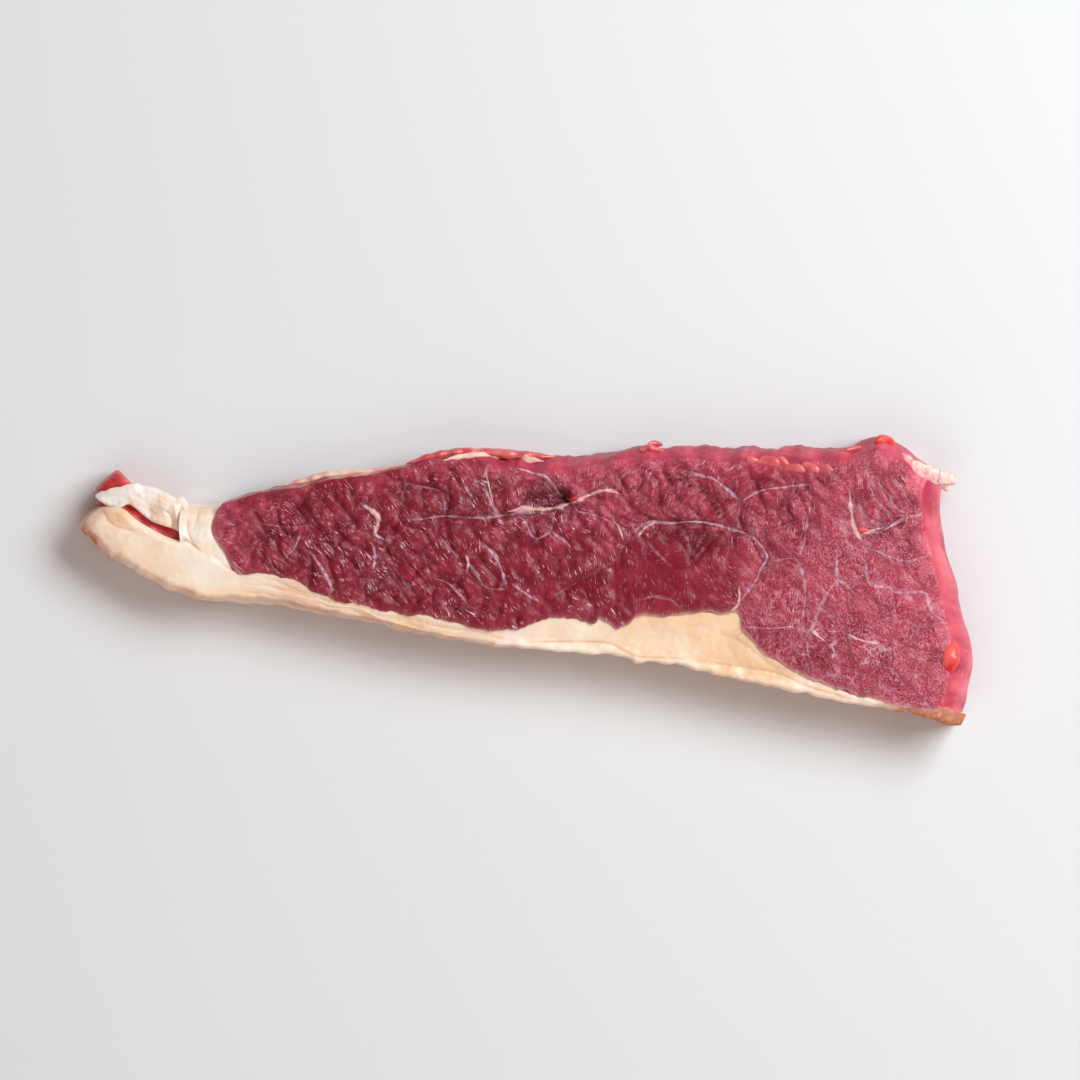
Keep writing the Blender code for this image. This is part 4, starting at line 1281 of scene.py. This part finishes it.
# Paths of (x, y, z, half width, half thickness), and without z where they lie on the muscle
TORN_BAND = [
    (-32, 30.9, 14.2, 0.4, 0.6), (-26, 32.6, 13.8, 1.0, 1.4), (-19, 33.9, 13.2, 1.2, 1.8),
    (-10, 33.9, 12.6, 1.3, 1.9), (0, 33.2, 12.2, 1.3, 1.8), (8, 32.8, 12.6, 0.6, 0.8),
]
SHREDS = [
    [(30.6, 34.2, 0.5, 0.5), (32.0, 35.2, 0.9, 1.0), (33.8, 35.0, 0.9, 1.0), (37.0, 34.4, 0.5, 0.5)],
    [(32.6, 36.0, 0.5, 0.6), (34.6, 36.4, 0.8, 1.2), (36.8, 36.0, 0.5, 0.6)],
    [(85.4, 34.4, 0.4, 0.4), (87.4, 35.0, 0.8, 0.8), (89.8, 35.4, 0.4, 0.4)],
]
LUMPS = [
    [(58.6, 32.2, 0.4, 0.4), (60.4, 32.0, 1.0, 0.7), (62.4, 31.4, 0.6, 0.4)],
    [(61.6, 31.2, 0.5, 0.5), (63.6, 31.6, 1.3, 0.8), (66.0, 31.4, 1.5, 0.8), (67.8, 30.2, 0.7, 0.5)],
    [(66.8, 32.2, 0.4, 0.4), (68.6, 31.6, 1.1, 0.7), (70.2, 30.4, 0.6, 0.4)],
    [(68.6, 29.6, 0.4, 0.4), (70.8, 29.8, 1.2, 0.7), (73.2, 29.4, 1.0, 0.7), (74.6, 28.6, 0.4, 0.4)],
    [(73.4, 30.6, 0.4, 0.4), (75.4, 30.2, 1.2, 0.8), (77.2, 29.4, 0.9, 0.6), (78.4, 28.4, 0.4, 0.3)],
    [(78.2, 30.0, 0.3, 0.3), (80.2, 29.8, 0.9, 0.6), (82.4, 29.0, 0.4, 0.4)],
]
torn = [TORN_BAND] + [lying(path) for path in SHREDS] + [lying(path, lift=-0.35) for path in LUMPS]
shred_finish = tissue_finish("shreds", (0.62, 0.085, 0.095), (0.78, 0.20, 0.19), 240)
edge_shreds = ribbons("edge_shreds", torn, shred_finish, unevenness=0.09)

red_tissue = tissue_finish("red_tissue", (0.72, 0.022, 0.028), (0.84, 0.11, 0.09), 260)
red_scraps = ribbons("red_scraps", [
    lying([
        (114.0, -15.8, 0.7, 0.5), (113.7, -17.8, 1.9, 1.0), (113.2, -20.4, 2.6, 1.2),
        (113.1, -22.8, 2.1, 1.1), (113.5, -25.2, 0.5, 0.4),
    ], lift=-0.5),
    lying([(88.6, 13.8, 0.3, 0.2), (89.6, 13.2, 0.6, 0.3), (91.4, 13.4, 0.3, 0.2)]),
    lying([(11.4, 21.2, 0.4, 0.2), (12.4, 21.6, 0.5, 0.3), (14, 22.0, 0.3, 0.2)]),
    lying([(93.0, 36.6, 0.6, 0.8), (94.9, 37.4, 1.2, 1.6), (96.9, 37.3, 1.2, 1.6), (98.8, 36.2, 0.5, 0.6)]),
], red_tissue, unevenness=0.05)


# --------------------------------------------------------------------
# The board, a plain pale floor, with a large soft light from the upper right, and the camera straight
# above.
# --------------------------------------------------------------------

BOARD = 1.6
VIEW_WIDTH = 289.0
VIEW_CENTRE = (3.9, 10.6)
LENS, SENSOR = 240.0, 36.0


def floor_finish():
    """Pale plastic board, even and nearly matt."""
    made, tree, shader = start_finish("pale_floor", 0.6)
    where = add(tree, "ShaderNodeTexCoord").outputs["Object"]
    colour = mix(tree, noise(tree, where, 6, 2), (0.735, 0.737, 0.74, 1), (0.75, 0.752, 0.755, 1))
    tree.links.new(colour, shader.inputs["Base Color"])
    return made


floor_data = bpy.data.meshes.new("floor")
corners = [(-BOARD, -BOARD, 0), (BOARD, -BOARD, 0), (BOARD, BOARD, 0), (-BOARD, BOARD, 0)]
floor_data.from_pydata(corners, [], [(0, 1, 2, 3)])
floor_data.materials.append(floor_finish())
floor = placed("floor", floor_data)


def area_light(name, place, wide, high, power, colour):
    """A flat soft light, wide by high, that shines from a place at the middle of the board."""
    lamp = bpy.data.lights.new(name, "AREA")
    lamp.shape = "RECTANGLE"
    lamp.size = wide
    lamp.size_y = high
    lamp.energy = power
    lamp.color = colour
    thing = placed(name, lamp)
    thing.location = place
    thing.rotation_euler = thing.location.to_track_quat("Z", "Y").to_euler()


area_light("window", (0.76, 0.47, 0.92), 0.9, 0.6, 18.7, (0.89, 0.97, 1.0))
area_light("fill", (-0.35, -0.90, 1.00), 1.2, 1.2, 5.4, (1.0, 0.85, 0.80))

world = bpy.data.worlds.new("studio")
world.use_nodes = True
sky = world.node_tree.nodes["Background"]
sky.inputs["Color"].default_value = (1.0, 0.84, 0.80, 1)
sky.inputs["Strength"].default_value = 0.265
bpy.context.scene.world = world

lens = bpy.data.cameras.new("camera")
lens.lens = LENS
lens.sensor_width = SENSOR
lens.clip_end = 20
camera = placed("camera", lens)
camera.location = (VIEW_CENTRE[0] * MM, VIEW_CENTRE[1] * MM, VIEW_WIDTH * MM * LENS / SENSOR + 10 * MM)
bpy.context.scene.camera = camera
bpy.context.scene.view_settings.view_transform = "Standard"
